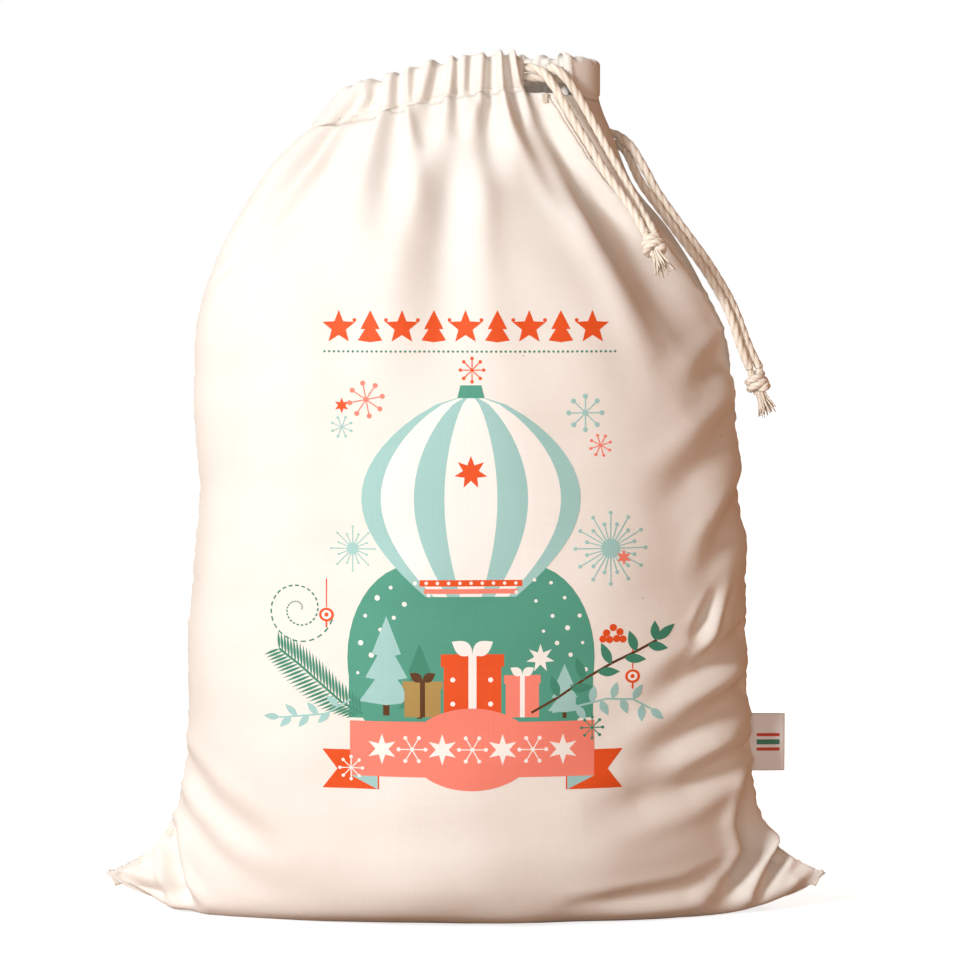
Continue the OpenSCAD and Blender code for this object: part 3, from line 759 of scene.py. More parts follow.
# %% [markdown]
# A cord that hangs against a filled sack presses a shallow groove into it. So cloth that would be
# inside a cord moves in, up to a greatest depth, and its neighbours follow. The top of the right
# cords is left out, because they come out of the gap there, and they still touch the cloth at it.

# %% Let the outside cords press into the cloth
PRESS_BELOW = 574 * MM


def pressed(grid, room=CORD_D / 2 + 0.8 * MM, deepest=9 * MM):
    """A panel's grid with a groove under each outside cord. Both panels move the same way at a seam."""
    out = grid.reshape(-1, 3) * (1, 4, 0)
    out /= np.linalg.norm(out, axis=1)[:, None] + 1e-9
    points = grid.reshape(-1, 3).copy()
    before = points.copy()
    for name, line in OUTSIDE.items():
        if "right_tail" in name:
            line = line[line[:, 2] < PRESS_BELOW]
        low, high = line.min(0) - 4 * room, line.max(0) + 4 * room
        near = np.flatnonzero(((points > low) & (points < high)).all(1))
        gap = points[near][:, None, :] - line[None]
        closest = (gap ** 2).sum(2).argmin(1)
        gap = gap[np.arange(len(near)), closest]
        above = (gap * out[near]).sum(1)
        aside = np.sqrt(np.maximum((gap ** 2).sum(1) - above ** 2, 0))
        under_cord = -np.sqrt(np.maximum(room ** 2 - aside ** 2, 0))
        allowed = np.where(aside < room, under_cord, 0.7 * (aside - room))
        push = np.where((aside < 2.5 * room) & (above < 2 * room), np.clip(above - allowed, 0, deepest), 0)
        points[near] -= out[near] * push[:, None]
    print("cords press", round(float(np.abs(points - before).max()) * 1000, 1), "mm deep")
    return points.reshape(grid.shape)


front_grid, back_grid = pressed(front_grid), pressed(back_grid)
meet_at_seams(front_grid, back_grid)

# %% [markdown]
# ## Panels
# Each panel is one sheet, so the grid of points becomes one mesh whose UVs are the flat cloth in
# metres. Solidify then gives it the 0.7 mm of real calico.

# %% Make the two panels
CLOTH_T = 0.7 * MM
FLAT_W = 0.5
HEM_ROW = 1.9 * MM  # flat cloth from one row of the hem to the next


def grid_shape(grid, flat_x, flat_y, flip=False):
    """Vertices, faces and UVs of a grid of points."""
    rows, cols = grid.shape[:2]
    faces, uvs = [], []
    for i in range(rows - 1):
        for j in range(cols - 1):
            a, b, c, d = i * cols + j, i * cols + j + 1, (i + 1) * cols + j + 1, (i + 1) * cols + j
            corner = [(flat_x[j], flat_y[i]), (flat_x[j + 1], flat_y[i]),
                      (flat_x[j + 1], flat_y[i + 1]), (flat_x[j], flat_y[i + 1])]
            faces.append((d, c, b, a) if flip else (a, b, c, d))
            uvs.append(corner[::-1] if flip else corner)
    return grid.reshape(-1, 3), faces, uvs


def apply_modifiers(piece):
    """Bakes a piece's modifiers into its mesh."""
    depsgraph = bpy.context.evaluated_depsgraph_get()
    mesh = bpy.data.meshes.new_from_object(piece.evaluated_get(depsgraph))
    piece.modifiers.clear()
    piece.data = mesh


def thicken(piece, thickness, offset=-1.0):
    solid = piece.modifiers.new("cloth thickness", "SOLIDIFY")
    solid.thickness = thickness
    solid.offset = offset
    solid.use_even_offset = False
    apply_modifiers(piece)


panel_u = np.linspace(0, 1, COLUMNS + 1)
flat_x = (panel_u - 0.5) * FLAT_W
panels = {}
for name, grid, front in (("cloth_front", front_grid, True), ("cloth_back", back_grid, False)):
    piece = mesh_piece(name, grid_shape(grid, flat_x, panel_rows, flip=not front), calico_material)
    panels[name] = piece
    thicken(piece, CLOTH_T)
    print(name, len(piece.data.vertices), "vertices")

# %% Make the two hems
casings = {}
for name, grid, along, front in (("hem_front", front_hem, front_along, True),
                                 ("hem_back", back_hem, back_along, False)):
    first, last = hem_columns(front)
    down = panel_rows[-1] + np.arange(len(grid)) * HEM_ROW
    piece = mesh_piece(name, grid_shape(grid, flat_x[first:last], down, flip=not front), calico_material)
    thicken(piece, CLOTH_T)
    casings[name] = piece
    print(name, len(piece.data.vertices), "vertices")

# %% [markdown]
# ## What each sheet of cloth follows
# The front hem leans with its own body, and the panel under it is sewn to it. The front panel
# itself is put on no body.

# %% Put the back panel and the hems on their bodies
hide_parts("front_panel")
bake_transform(panels["cloth_front"])
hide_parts("back_panel")
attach(panels["cloth_back"], "sack")
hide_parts("front_casing")
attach(casings["hem_front"], "front_lip")
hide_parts("back_casing")
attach(casings["hem_back"], "sack")

# %% [markdown]
# ## Cord cotton
# The rope's UVs run round and along it, so the dark line between two strands and the fine slanted
# fibres can both be worked out from them.

# %% The cord materials
def cord_cotton(name, light, dark):
    """Soft cotton rope: fibres slanting across each strand, and shade between the strands."""
    material, tree, shader, bump = principled(name)
    uv = add_node(tree, "ShaderNodeUVMap", uv_map="UVMap").outputs[0]
    parts = add_node(tree, "ShaderNodeSeparateXYZ", {0: uv})
    around, along = parts.outputs[0], parts.outputs[1]
    strand = maths(tree, "ABSOLUTE", maths(tree, "COSINE", maths(tree, "MULTIPLY", around, math.pi * LOBES)))
    slant = maths(tree, "MULTIPLY_ADD", along, 900.0, maths(tree, "MULTIPLY", around, 9.0))
    stretched = add_node(tree, "ShaderNodeCombineXYZ", {0: slant, 1: maths(tree, "MULTIPLY", around, 30.0),
                                                        2: maths(tree, "MULTIPLY", along, 120.0)})
    fibre = noise(tree, stretched.outputs[0], 1.0, 2.0)
    shade = maths(tree, "MULTIPLY", maths(tree, "MULTIPLY_ADD", fibre.outputs[0], 0.9, 0.45),
                   maths(tree, "MULTIPLY_ADD", maths(tree, "POWER", strand, 0.6), 0.75, 0.25))
    base = mix_colour(tree, shade, (*dark, 1), (*light, 1))
    tree.links.new(base, shader.inputs["Base Color"])
    tree.links.new(maths(tree, "MULTIPLY_ADD", strand, 0.6, fibre.outputs[0]), bump.inputs["Height"])
    bump.inputs["Strength"].default_value = 0.5
    bump.inputs["Distance"].default_value = 0.0003
    shader.inputs["Roughness"].default_value = 0.88
    shader.inputs["Sheen Weight"].default_value = 0.3
    shader.inputs["Specular IOR Level"].default_value = 0.12
    return material


cord_material = cord_cotton("cord_cotton", (0.88, 0.84, 0.76), (0.64, 0.54, 0.40))
frayed_material = cord_cotton("cord_frayed", (0.90, 0.85, 0.75), (0.62, 0.52, 0.38))
thread_material = cord_cotton("sewing_thread", (0.88, 0.84, 0.76), (0.60, 0.52, 0.40))

# %% [markdown]
# ## The cords inside the hems
# Both cords lie in the same channel, one above the other. Each stretch in a hem rides on the body
# of that hem, and the stretch across the other cord's gap stays with the sack.

# %% Lay the cords in the hems and across the gaps
HEM_LEVEL = {"left": -3.3 * MM, "right": 3.3 * MM}
HEM_SPANS = [("left_cord_front_run", 164, 296, "left", "front_lip"),
             ("left_cord_back_run", -42, 136, "left", "sack"),
             ("left_cord_crossing", 296.1, 317.9, "left", "sack"),
             ("right_cord_front_run", 164, 296, "right", "front_lip"),
             ("right_cord_back_run", -42, 136, "right", "sack"),
             ("right_cord_crossing", 136.1, 163.9, "right", "sack")]
for node, first, last, cord, body in HEM_SPANS:
    angles = np.radians(np.linspace(first, last, max(12, int((last - first) * 0.8))))
    line = smooth_route(mouth_point(angles, 0.0, HEM_LEVEL[cord]), step=1.5 * MM)
    piece = mesh_piece("rope_" + node, rope_shape(line, CORD_D, sides=18), cord_material)
    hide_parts(node)
    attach(piece, body)

# %% [markdown]
# ## Knots and frayed ends
# Each pair of ends is tied in one overhand knot. It is a little over two wraps round the pair,
# crossed by the strand that locks it, and below it the cut ends have come undone into single yarns.

# %% Knots
def across(axis):
    """Two unit vectors at right angles to an axis."""
    one = np.cross(axis, (0.3, 1.0, 0.2))
    one /= np.linalg.norm(one)
    return one, np.cross(axis, one)


def knot_shape(centre, axis, arriving, turn):
    """The strands of an overhand knot, joined as one shape."""
    one, two = across(axis)

    def spot(angle, radius, along):
        return (centre + axis * along + one * radius * math.cos(angle) + two * radius * math.sin(angle))

    wraps = [spot(turn + a, 5.5 * MM + 0.3 * MM * math.sin(2.3 * a), (a / (2 * math.pi) - 1.15) * 4.7 * MM)
             for a in np.arange(0, 2.3 * 2 * math.pi, 0.4)]
    tucked = [spot(turn - 0.6, 1.5 * MM, -4.6 * MM), *wraps,
              spot(turn + 2.3 * 2 * math.pi + 0.5, 1.5 * MM, 4.8 * MM)]
    lock = [spot(turn + a, 6.1 * MM, (a / 2.6 - 0.5) * 11.0 * MM) for a in np.linspace(0, 2.6, 8)]
    lock = [spot(turn - 0.7, 2 * MM, -5.5 * MM), *lock, spot(turn + 3.4, 2 * MM, 5.5 * MM)]
    shapes = [rope_shape(smooth_route(tucked), 5.2 * MM, lay=15 * MM),
              rope_shape(smooth_route(lock), 4.8 * MM, lay=15 * MM)]
    for i, end in enumerate(arriving):
        aside = one * (2.4 if i else -2.4) * MM
        core = [end[0], end[1], centre + aside * 0.8, centre + axis * 8.2 * MM + aside]
        shapes.append(rope_shape(smooth_route(core), 4.9 * MM, pinch=((0, 0.3, 1), (1.0, 0.9, 0.95))))
    return join_shapes(shapes)


def tuft_shape(centre, axis, seed):
    """Yarns that flare out of the knot, each one curved, tapered and a little longer or shorter."""
    rng = np.random.default_rng(seed)
    one, two = across(axis)
    shapes = []
    for i in range(22):
        angle = i * 2.4 + rng.uniform(-0.3, 0.3)
        side = one * math.cos(angle) + two * math.sin(angle)
        curl = one * rng.normal() + two * rng.normal()
        reach = (TUFT_L - 1.5 * MM) * rng.uniform(0.72, 1.0)
        inner = (0.8 + 2.4 * math.sqrt(i / 22)) * MM
        flare = rng.uniform(0.16, 0.36) * math.sqrt(i / 22 + 0.1)
        line = [centre + axis * (6.5 * MM + reach * t) + side * (inner + reach * flare * t ** 1.4)
                + curl * 0.8 * MM * math.sin(2.6 * t + i) * t for t in np.linspace(0, 1, 7)]
        shapes.append(rope_shape(smooth_route(line, step=1.2 * MM), rng.uniform(1.5, 2.1) * MM, lay=5 * MM,
                                 start_turn=rng.uniform(0, 6), pinch=((0, 0.75, 1), (1, 0.85, 0.35)),
                                 sides=9, lobes=3))
    return join_shapes(shapes)


KNOT_TURN = {"right": 3.6, "left": 4.2}
TUFT_SEED = {"right": 21, "left": 22}
for cord, (centre, axis) in KNOTS.items():
    centre, axis = np.array(centre) * MM, np.array(axis)
    axis /= np.linalg.norm(axis)
    ends = [(line[-4], line[-1]) for line in (OUTSIDE[f"{cord}_tail_front"], OUTSIDE[f"{cord}_tail_back"])]
    knot = mesh_piece(f"rope_{cord}_knot", knot_shape(centre, axis, ends, KNOT_TURN[cord]), cord_material)
    tuft = mesh_piece(f"yarn_{cord}_tuft", tuft_shape(centre, axis, TUFT_SEED[cord]), frayed_material)
    for piece, node, slot in ((knot, f"{cord}_knot", "cord"), (tuft, f"{cord}_tuft", "frayed_cord")):
        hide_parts(node)
        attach(piece, f"{cord}_knot")
    print(cord, "knot", [round(c * 1000, 1) for c in knot.dimensions], "mm")

# %% [markdown]
# ## The free ends
# A tail hangs from its gap and ends in its knot. Its mesh is put on no body.


def cord_piece(node):
    """A mesh rope along one outside route."""
    piece = mesh_piece("rope_" + node, rope_shape(OUTSIDE[node], CORD_D), cord_material)
    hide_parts(node)
    return piece


for node in ("left_wrap_lower", "left_wrap_upper"):
    line = OUTSIDE[node]
    piece = cord_piece(node)
    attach(piece, "sack")
for cord in ("right", "left"):
    for side in ("front", "back"):
        line = OUTSIDE[f"{cord}_tail_{side}"]
        piece = cord_piece(f"{cord}_tail_{side}")
        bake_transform(piece)

# %% [markdown]
# ## Sewing
# A lockstitch shows as short threads in a row, each one sunk into the cloth at its two ends. The
# hems are held down by one row each, and a bar of dense stitches ends each gap.

# %% Rows of stitches on the hems
def stitch_row(line, normals, length=2.6 * MM, gap=0.6 * MM, diameter=0.55 * MM):
    """Stitches along a line on the cloth."""
    steps = np.r_[0, np.cumsum(np.linalg.norm(np.diff(line, axis=0), axis=1))]
    shapes = []
    for start in np.arange(0, steps[-1] - length, length + gap):
        s = np.linspace(start, start + length, 6)
        middle = np.stack([np.interp(s, steps, line[:, k]) for k in range(3)], 1)
        normal = np.stack([np.interp(s, steps, normals[:, k]) for k in range(3)], 1)
        lift = np.sin(np.linspace(0, math.pi, 6)) * 0.45 * MM - 0.15 * MM
        shapes.append(rope_shape(middle + normal * lift[:, None], diameter, sides=7, lobes=0,
                                 pinch=((0, 0.25, 0.75, 1), (0.5, 1, 1, 0.5))))
    return join_shapes(shapes)


for name, hem, front, node, body in (
        ("front_hem_stitches", front_hem, True, "front_casing_stitching", "front_lip"),
        ("back_hem_stitches", back_hem, False, "back_casing_stitching", "sack")):
    normals = outward(hem, front)
    line = hem[1] * 0.4 + hem[2] * 0.6
    piece = mesh_piece(name, stitch_row(line, normals[1]), thread_material)
    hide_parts(node)
    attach(piece, body)

# %% Bar tacks at the lower ends of the gaps
for side, gap in (("right", RIGHT_GAP), ("left", LEFT_GAP)):
    middle = math.radians(sum(gap) / 2)
    turn = np.array((-0.032, 0.032))
    bars = []
    for i in range(9):
        ends = mouth_point(middle + turn, HALF_T + 1.5 * MM, -HALF_H - (1.2 + 0.7 * i) * MM)
        bars.append(rope_shape(smooth_route([ends[0], ends.mean(0) + (0, 0, 0.1 * MM), ends[1]]), 0.75 * MM,
                               sides=7, lobes=0))
    piece = mesh_piece(f"{side}_tack_stitches", join_shapes(bars), thread_material)
    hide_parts(f"{side}_bartack")
    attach(piece, "sack")

# %% [markdown]
# ## Seams inside the sack
# The seams are sewn inside out, so their allowances are two raw edges that lie against each other
# inside. They run along the line where the two panels meet.

# %% Seam allowances and their stitching
SEAM_W = 10 * MM


def seam_strip(line, inward):
    """Rows of points across a seam allowance: the first row is on the seam line."""
    return np.array([line + inward * (0.6 * MM + SEAM_W * t) for t in np.linspace(0, 1, 5)])


def seam_pieces(name, line, inward, facing):
    """The doubled allowance of one seam, and the thread that holds it."""
    stitching = name.replace("_side_seam", "_seam") + "_stitching"
    strip = seam_strip(line, inward)
    steps = np.r_[0, np.cumsum(np.linalg.norm(np.diff(line, axis=0), axis=1))]
    shape = grid_shape(strip, steps, np.linspace(0, SEAM_W, len(strip)))
    cloth = mesh_piece(f"{name}_allowance", shape, seam_shaded_material)
    thicken(cloth, 2 * CLOTH_T, offset=0.0)
    threads = [stitch_row(strip[1] + facing * way * CLOTH_T, facing * way)
               for way in (1.0, -1.0)]
    thread = mesh_piece(f"{name}_thread", join_shapes(threads), thread_material)
    for piece, node, slot in ((cloth, name, "seam_cotton"), (thread, stitching, "thread")):
        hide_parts(node)
        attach(piece, "sack")


for side, column in (("left", 0), ("right", -1)):
    line = front_grid[3:-8:2, column]
    along = np.gradient(line, axis=0)
    along /= np.linalg.norm(along, axis=1)[:, None]
    inward = -line * (1, 4, 0)
    inward -= along * (inward * along).sum(1)[:, None]
    inward /= np.linalg.norm(inward, axis=1)[:, None]
    seam_pieces(f"{side}_side_seam", line, inward, np.cross(along, inward))
line = front_grid[0, 4:-4:2] + np.array([0, 0, 1.6 * MM])
backwards, upwards = (np.tile(way, (len(line), 1)) for way in ((0.0, 1.0, 0.0), (0.0, 0.0, 1.0)))
seam_pieces("bottom_seam", line, backwards, upwards)
print("three seam allowances, each", round(SEAM_W * 1000), "mm wide")

# %% [markdown]
# ## The label
# A folded satin tape is caught in the right side seam. It is two layers with a soft round fold, and
# it carries three plain woven stripes and no lettering.

# %% The label's tape and its woven stripes
def plain_cloth(name, colour, roughness=0.55, pitch=0.0005, strength=0.2, sheen=0.1):
    """One flat colour over a weave."""
    material, tree, shader, bump = principled(name)
    weave = add_node(tree, "ShaderNodeGroup", node_tree=weave_group)
    weave.inputs["Thread Pitch"].default_value = pitch
    deep = tuple(c * 0.82 for c in colour)
    shade = maths(tree, "MULTIPLY_ADD", weave.outputs["Slub"], 0.8, 0.1)
    tree.links.new(mix_colour(tree, shade, (*deep, 1), (*colour, 1)), shader.inputs["Base Color"])
    tree.links.new(weave.outputs["Height"], bump.inputs["Height"])
    bump.inputs["Strength"].default_value = strength
    shader.inputs["Roughness"].default_value = roughness
    shader.inputs["Sheen Weight"].default_value = sheen
    shader.inputs["Specular IOR Level"].default_value = 0.25
    return material


def from_screen(red, green, blue):
    """Linear colour out of the usual 0 to 255 numbers."""
    return tuple((c / 255 / 12.92) if c < 11 else ((c / 255 + 0.055) / 1.055) ** 2.4
                 for c in (red, green, blue))


label_low, label_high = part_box("side_label")
label_material = plain_cloth("label_satin", (0.93, 0.93, 0.95), roughness=0.35)
label_red = plain_cloth("label_red_yarn", from_screen(214, 78, 66))
label_green = plain_cloth("label_green_yarn", from_screen(72, 140, 116))
print("label from", [round(c * 1000, 1) for c in label_low], "to", [round(c * 1000, 1) for c in label_high])

LABEL_ROWS = 25
label_mid = (label_low.y + label_high.y) / 2
label_w = label_high.x - label_low.x
label_h = label_high.z - label_low.z


def label_point(s, z, lift=0.0):
    """A point on the folded tape: s runs from the seam out to the fold and back, from 0 to 2."""
    t = s if s <= 1 else 2 - s
    way = -1.0 if s <= 1 else 1.0
    half = 0.75 * MM * min(1.0, math.sqrt(max(0.0, 1 - t) / 0.06)) * (1 + 0.7 * math.sin(math.pi * t))
    bend = 0.9 * MM * math.sin(2.2 * (z - label_low.z) / label_h + 0.6) * t ** 1.5
    return (label_low.x + label_w * t - 0.4 * MM * t * abs(z / label_h - 3) ** 2,
            label_mid + way * (half + lift) + bend, z)


label_s = np.concatenate([np.linspace(0, 0.9, 14), np.linspace(0.92, 1.08, 11), np.linspace(1.1, 2, 14)])
label_z = np.linspace(label_low.z, label_high.z, LABEL_ROWS)
tape = mesh_piece("label_tape", grid_shape(np.array([[label_point(s, z) for s in label_s] for z in label_z]),
                                           label_s * label_w, label_z), label_material)
thicken(tape, 0.25 * MM, offset=0.0)


def flat_mark(name, outlines, material):
    """Thin woven shapes on the front layer of the label, from outlines in millimetres on its middle."""
    verts, faces, uvs = [], [], []
    for outline in outlines:
        start = len(verts)
        for x, z in outline:
            s = 0.55 + x * MM / label_w
            verts.append(label_point(s, (label_low.z + label_high.z) / 2 + z * MM, lift=0.22 * MM))
        faces.append(tuple(range(start, start + len(outline))))
        uvs.append([(x * MM, z * MM) for x, z in outline])
    piece = mesh_piece(name, (np.array(verts), faces, uvs), material, smooth=False)
    thicken(piece, 0.12 * MM, offset=0.0)
    return piece


def leaf(x, z, angle, length, width):
    """The outline of a pointed leaf."""
    c, s = math.cos(angle), math.sin(angle)
    half = [(t, width / 2 * math.sin(math.pi * t ** 0.85)) for t in np.linspace(0, 1, 9)]
    rim = half + [(t, -w) for t, w in half[-2:0:-1]]
    return [(x + length * t * c - w * s, z + length * t * s + w * c) for t, w in rim]


def stripe(z, height, pieces=10, half=8.0):
    """One woven stripe across the tape, as a chain of four-sided pieces."""
    x = np.linspace(-half, half, pieces + 1)
    return [[(p, z - height / 2), (q, z - height / 2), (q, z + height / 2), (p, z + height / 2)]
            for p, q in zip(x[:-1], x[1:])]


red_mark = flat_mark("label_red_stripes", stripe(5.0, 2.2) + stripe(-5.0, 2.2), label_red)
green_mark = flat_mark("label_green_stripe", stripe(0.0, 3.4), label_green)
for piece in (tape, red_mark, green_mark):
    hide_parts("side_label")
    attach(piece, "side_label")

# %% [markdown]
# ## The print
# The print is a thin film of ink on the front panel. It is drawn as flat outlines in millimetres,
# back to front, then cut into triangles that all belong to the topmost outline over them, and laid
# on the cloth along the sack's front direction. So it follows every fold and has real edges.

# %% Outlines the print is drawn with
prints = []


def ink(name, outline):
    """Adds an outline, turned so that its inside is always on the left of its edges."""
    points = [(float(x), float(z)) for x, z in outline]
    area = sum(x0 * z1 - x1 * z0 for (x0, z0), (x1, z1) in zip(points, points[1:] + points[:1]))
    prints.append((name, points if area > 0 else points[::-1]))


def disc(x, z, rx, rz=None, count=14):
    rz = rx if rz is None else rz
    return [(x + rx * math.cos(a), z + rz * math.sin(a)) for a in np.arange(count) * 2 * math.pi / count]


def bar(x0, z0, x1, z1, width):
    length = math.hypot(x1 - x0, z1 - z0)
    nx, nz = -(z1 - z0) / length * width / 2, (x1 - x0) / length * width / 2
    return [(x0 + nx, z0 + nz), (x0 - nx, z0 - nz), (x1 - nx, z1 - nz), (x1 + nx, z1 + nz)]


def star(x, z, outer, inner, points):
    return [(x + (inner if i % 2 else outer) * math.sin(math.pi * i / points),
             z + (inner if i % 2 else outer) * math.cos(math.pi * i / points)) for i in range(2 * points)]


def snowflake(name, x, z, r, arms=8, turn=0.0):
    for i in range(arms):
        a = turn + i * 2 * math.pi / arms
        c, s = math.cos(a), math.sin(a)
        ink(name, bar(x + 0.16 * r * c, z + 0.16 * r * s, x + 0.72 * r * c, z + 0.72 * r * s,
                      max(0.7, 0.06 * r)))
        ink(name, disc(x + 0.84 * r * c, z + 0.84 * r * s, 0.13 * r, count=9))
    ink(name, disc(x, z, 0.15 * r, count=9))


def burst(name, x, z, r, rays=20):
    for i in range(rays):
        a = i * 2 * math.pi / rays
        reach = r * (1.0 if i % 2 == 0 else 0.7)
        c, s = math.cos(a), math.sin(a)
        ink(name, bar(x + 0.2 * r * c, z + 0.2 * r * s, x + reach * 0.88 * c, z + reach * 0.88 * s, 0.8))
        ink(name, disc(x + reach * 0.94 * c, z + reach * 0.94 * s, 0.055 * r, count=7))
    ink(name, disc(x, z, 0.26 * r, count=12))


def line_of(name, points, width):
    for (x0, z0), (x1, z1) in zip(points[:-1], points[1:]):
        ink(name, bar(x0, z0, x1, z1, width))


def fir_tree(name, x, z, height, width):
    """Three stacked points over a trunk."""
    ink("brown", bar(x, z, x, z + height * 0.2, width * 0.12))
    for level, share in ((0.14, 1.0), (0.38, 0.78), (0.62, 0.54)):
        base, half = z + height * level, width / 2 * share
        ink(name, [(x - half, base), (x, base - height * 0.035), (x + half, base), (x, base + height * 0.38)])


def wrapped_box(x, z, width, height, colour, ribbon):
    ink(colour, [(x, z), (x + width, z), (x + width, z + height), (x, z + height)])
    ink(colour, [(x - width * 0.05, z + height * 0.8), (x + width * 1.05, z + height * 0.8),
                 (x + width * 1.05, z + height), (x - width * 0.05, z + height)])
    ink(ribbon, bar(x + width / 2, z, x + width / 2, z + height, width * 0.14))
    ink(ribbon, leaf(x + width / 2, z + height, 0.55, width * 0.42, width * 0.26))
    ink(ribbon, leaf(x + width / 2, z + height, math.pi - 0.55, width * 0.42, width * 0.26))


# %% A garland and a dotted line across the top
for i in range(9):
    x = -84 + i * 21.1
    if i % 2 == 0:
        ink("orange", star(x, 404.6, 11.6, 5.0, 5))
    else:
        ink("orange", [(x - 8.2, 396), (x, 394.8), (x + 8.2, 396), (x, 409)])
        ink("orange", [(x - 6.4, 403.5), (x + 6.4, 403.5), (x, 416)])
for i in range(8):
    ink("orange", disc(-73.5 + i * 21.1, 409.5, 1.3, count=8))
for i in range(62):
    ink("green", disc(-93.5 + i * 3.17, 388.7, 0.85, count=6))

# %% Snow round a big striped ornament
snowflake("orange", 4.7, 376.5, 9.2)
snowflake("coral", -65.6, 356.9, 13.2, turn=0.2)
snowflake("aqua", -81.8, 338.7, 8.0, turn=0.4)
snowflake("aqua", 79.8, 348.1, 13.2)
snowflake("coral", 89.9, 326.5, 8.2, turn=0.3)
burst("aqua", -74.4, 258.2, 15.5, 16)
burst("aqua", 96.7, 258.2, 25, 24)
ink("orange", star(-81.8, 352.9, 5.2, 2.4, 6))
ink("coral", star(105.5, 252.1, 5.4, 2.4, 6))
ink("teal", disc(-34, 186, 44, 62, count=44))
ink("teal", disc(42, 186, 44, 62, count=44))
ink("teal", [(-77, 146), (85, 146), (85, 182), (-77, 182)])
ink("teal", disc(4, 190, 40, 46, count=40))


def ornament_side(share, count=20):
    """Half widths of the striped ornament from its top to its foot, times a share."""
    heights = np.linspace(0, 1, count)
    widths = 77 * np.sin(np.pi * np.clip(heights * 0.86, 0, 1)) ** 0.62 * (1 - 0.34 * heights ** 3)
    return [(share * w, 361 - 134 * h) for h, w in zip(heights, widths)]


for share, name in ((1.0, "aqua"), (0.82, "white"), (0.52, "aqua"), (0.24, "white")):
    side = ornament_side(share)
    ink(name, [(4 + w, z) for w, z in side] + [(4 - w, z) for w, z in side[::-1][:-1]])
ink("teal", [(-5, 358), (13, 358), (11, 366.5), (-3, 366.5)])
ink("orange", star(4, 309, 11.2, 5.4, 7))
ink("orange", bar(-30, 236, 38, 236, 4.2))
ink("coral", bar(-27, 230.6, 35, 230.6, 3.2))
for i in range(9):
    ink("white", disc(-25.5 + i * 7.4, 236, 1.2, count=7))

# %% Snowy hills with fir trees and presents under the ornament
rng = np.random.default_rng(8)
for x, z in ((-66, 214), (-58, 226), (-49, 233), (-40, 222), (-69, 196), (-56, 205), (-47, 213), (-33, 236),
             (-71, 176), (76, 214), (66, 226), (57, 236), (47, 224), (78, 196), (68, 206), (58, 214),
             (46, 238),
             (80, 178), (70, 188), (61, 196), (-62, 188), (52, 204), (-24, 228), (34, 230)):
    ink("white", disc(x, z, 1.0 + 0.9 * rng.random(), count=8))
ink("white", star(50, 186, 9.6, 4.2, 7))
fir_tree("aqua", -52, 148, 66, 36)
fir_tree("green", -30, 146, 50, 28)
fir_tree("aqua", 66, 146, 36, 22)
wrapped_box(-14, 147, 38, 42, "orange", "white")
wrapped_box(-40, 147, 24, 24, "ochre", "brown")
wrapped_box(27, 147, 22, 28, "coral", "white")
for x, z in ((-8, 156), (-8, 172), (17, 156), (17, 172)):
    ink("white", disc(x, z, 1.7, count=9))

# %% A dashed curl, small hanging ornaments and sprigs
for i in range(46):
    a, b = i * 0.27, i * 0.27 + 0.16
    ra, rb = 2.2 + i * 0.47, 2.2 + (i + 0.6) * 0.47
    ink("green", bar(-111 + ra * math.cos(a), 217 + ra * math.sin(a),
                     -111 + rb * math.cos(b), 217 + rb * math.sin(b), 1.0))


def small_ornament(x, z, top, colour):
    ink(colour, bar(x, z + 5, x, top, 0.7))
    ink(colour, disc(x, z, 5.0, 4.6, count=18))
    ink("white", disc(x, z, 3.3, 3.0, count=14))
    ink(colour, disc(x, z, 1.5, count=9))
    ink(colour, bar(x, z - 4.4, x, z - 8.4, 1.2))


small_ornament(-92, 214, 238, "orange")
small_ornament(111.6, 172.5, 196, "orange")
stem = [(-124, 190), (-110, 180), (-96, 168), (-82, 156), (-68, 149)]
line_of("green", stem, 1.5)
for i in range(26):
    t = i / 25 * 3.9
    (x0, z0), (x1, z1) = stem[int(t)], stem[int(t) + 1]
    x, z = x0 + (x1 - x0) * (t % 1), z0 + (z1 - z0) * (t % 1)
    size = 10 + 9 * math.sin(math.pi * (i + 3) / 30)
    ink("green", leaf(x, z, 2.35 - 0.7, size * 0.9, 1.7))
    ink("green", leaf(x, z, 2.95 + 0.6, size * 0.9, 1.7))
twig = [(-76, 158), (-92, 148), (-108, 146), (-124, 144)]
line_of("aqua", twig, 1.2)
for x, z, a in ((-84, 153, 2.4), (-90, 149, 3.9), (-98, 147, 2.3), (-104, 146.5, 4.0), (-112, 145.6, 2.4),
                (-116, 145, 3.9), (-124, 144, 3.1)):
    ink("aqua", leaf(x, z, a, 11, 4.6))
bough = [(44, 150), (62, 160), (80, 172), (98, 182), (116, 190), (128, 196)]
line_of("brown", bough, 1.6)
for x, z, a, size in ((62, 160, 1.9, 15), (70, 165, 0.1, 15), (79, 171, 1.9, 16), (88, 176, 0.0, 15),
                      (97, 181, 2.0, 16), (106, 185, -0.1, 15), (114, 189, 1.9, 15), (122, 193, -0.2, 14),
                      (128, 196, 0.7, 16), (127, 196, 1.6, 13)):
    ink("green", leaf(x, z, a, size, 6.2))
low = [(58, 150), (76, 154), (94, 158), (112, 157), (124, 150)]
line_of("aqua", low, 1.3)
for x, z, a in ((70, 152, 1.4), (74, 154, -1.0), (84, 156, 1.4), (90, 157, -1.1), (98, 158, 1.3),
                (104, 158, -1.2), (112, 157, 1.0), (118, 153, -1.6), (124, 150, -0.7)):
    ink("aqua", leaf(x, z, a, 11.5, 5.4))
for x, z in ((94, 202), (98.5, 205.5), (103, 202.5), (96, 197.5), (100.8, 198), (91.6, 198), (105, 197.6)):
    ink("orange", disc(x, z, 2.5, count=10))

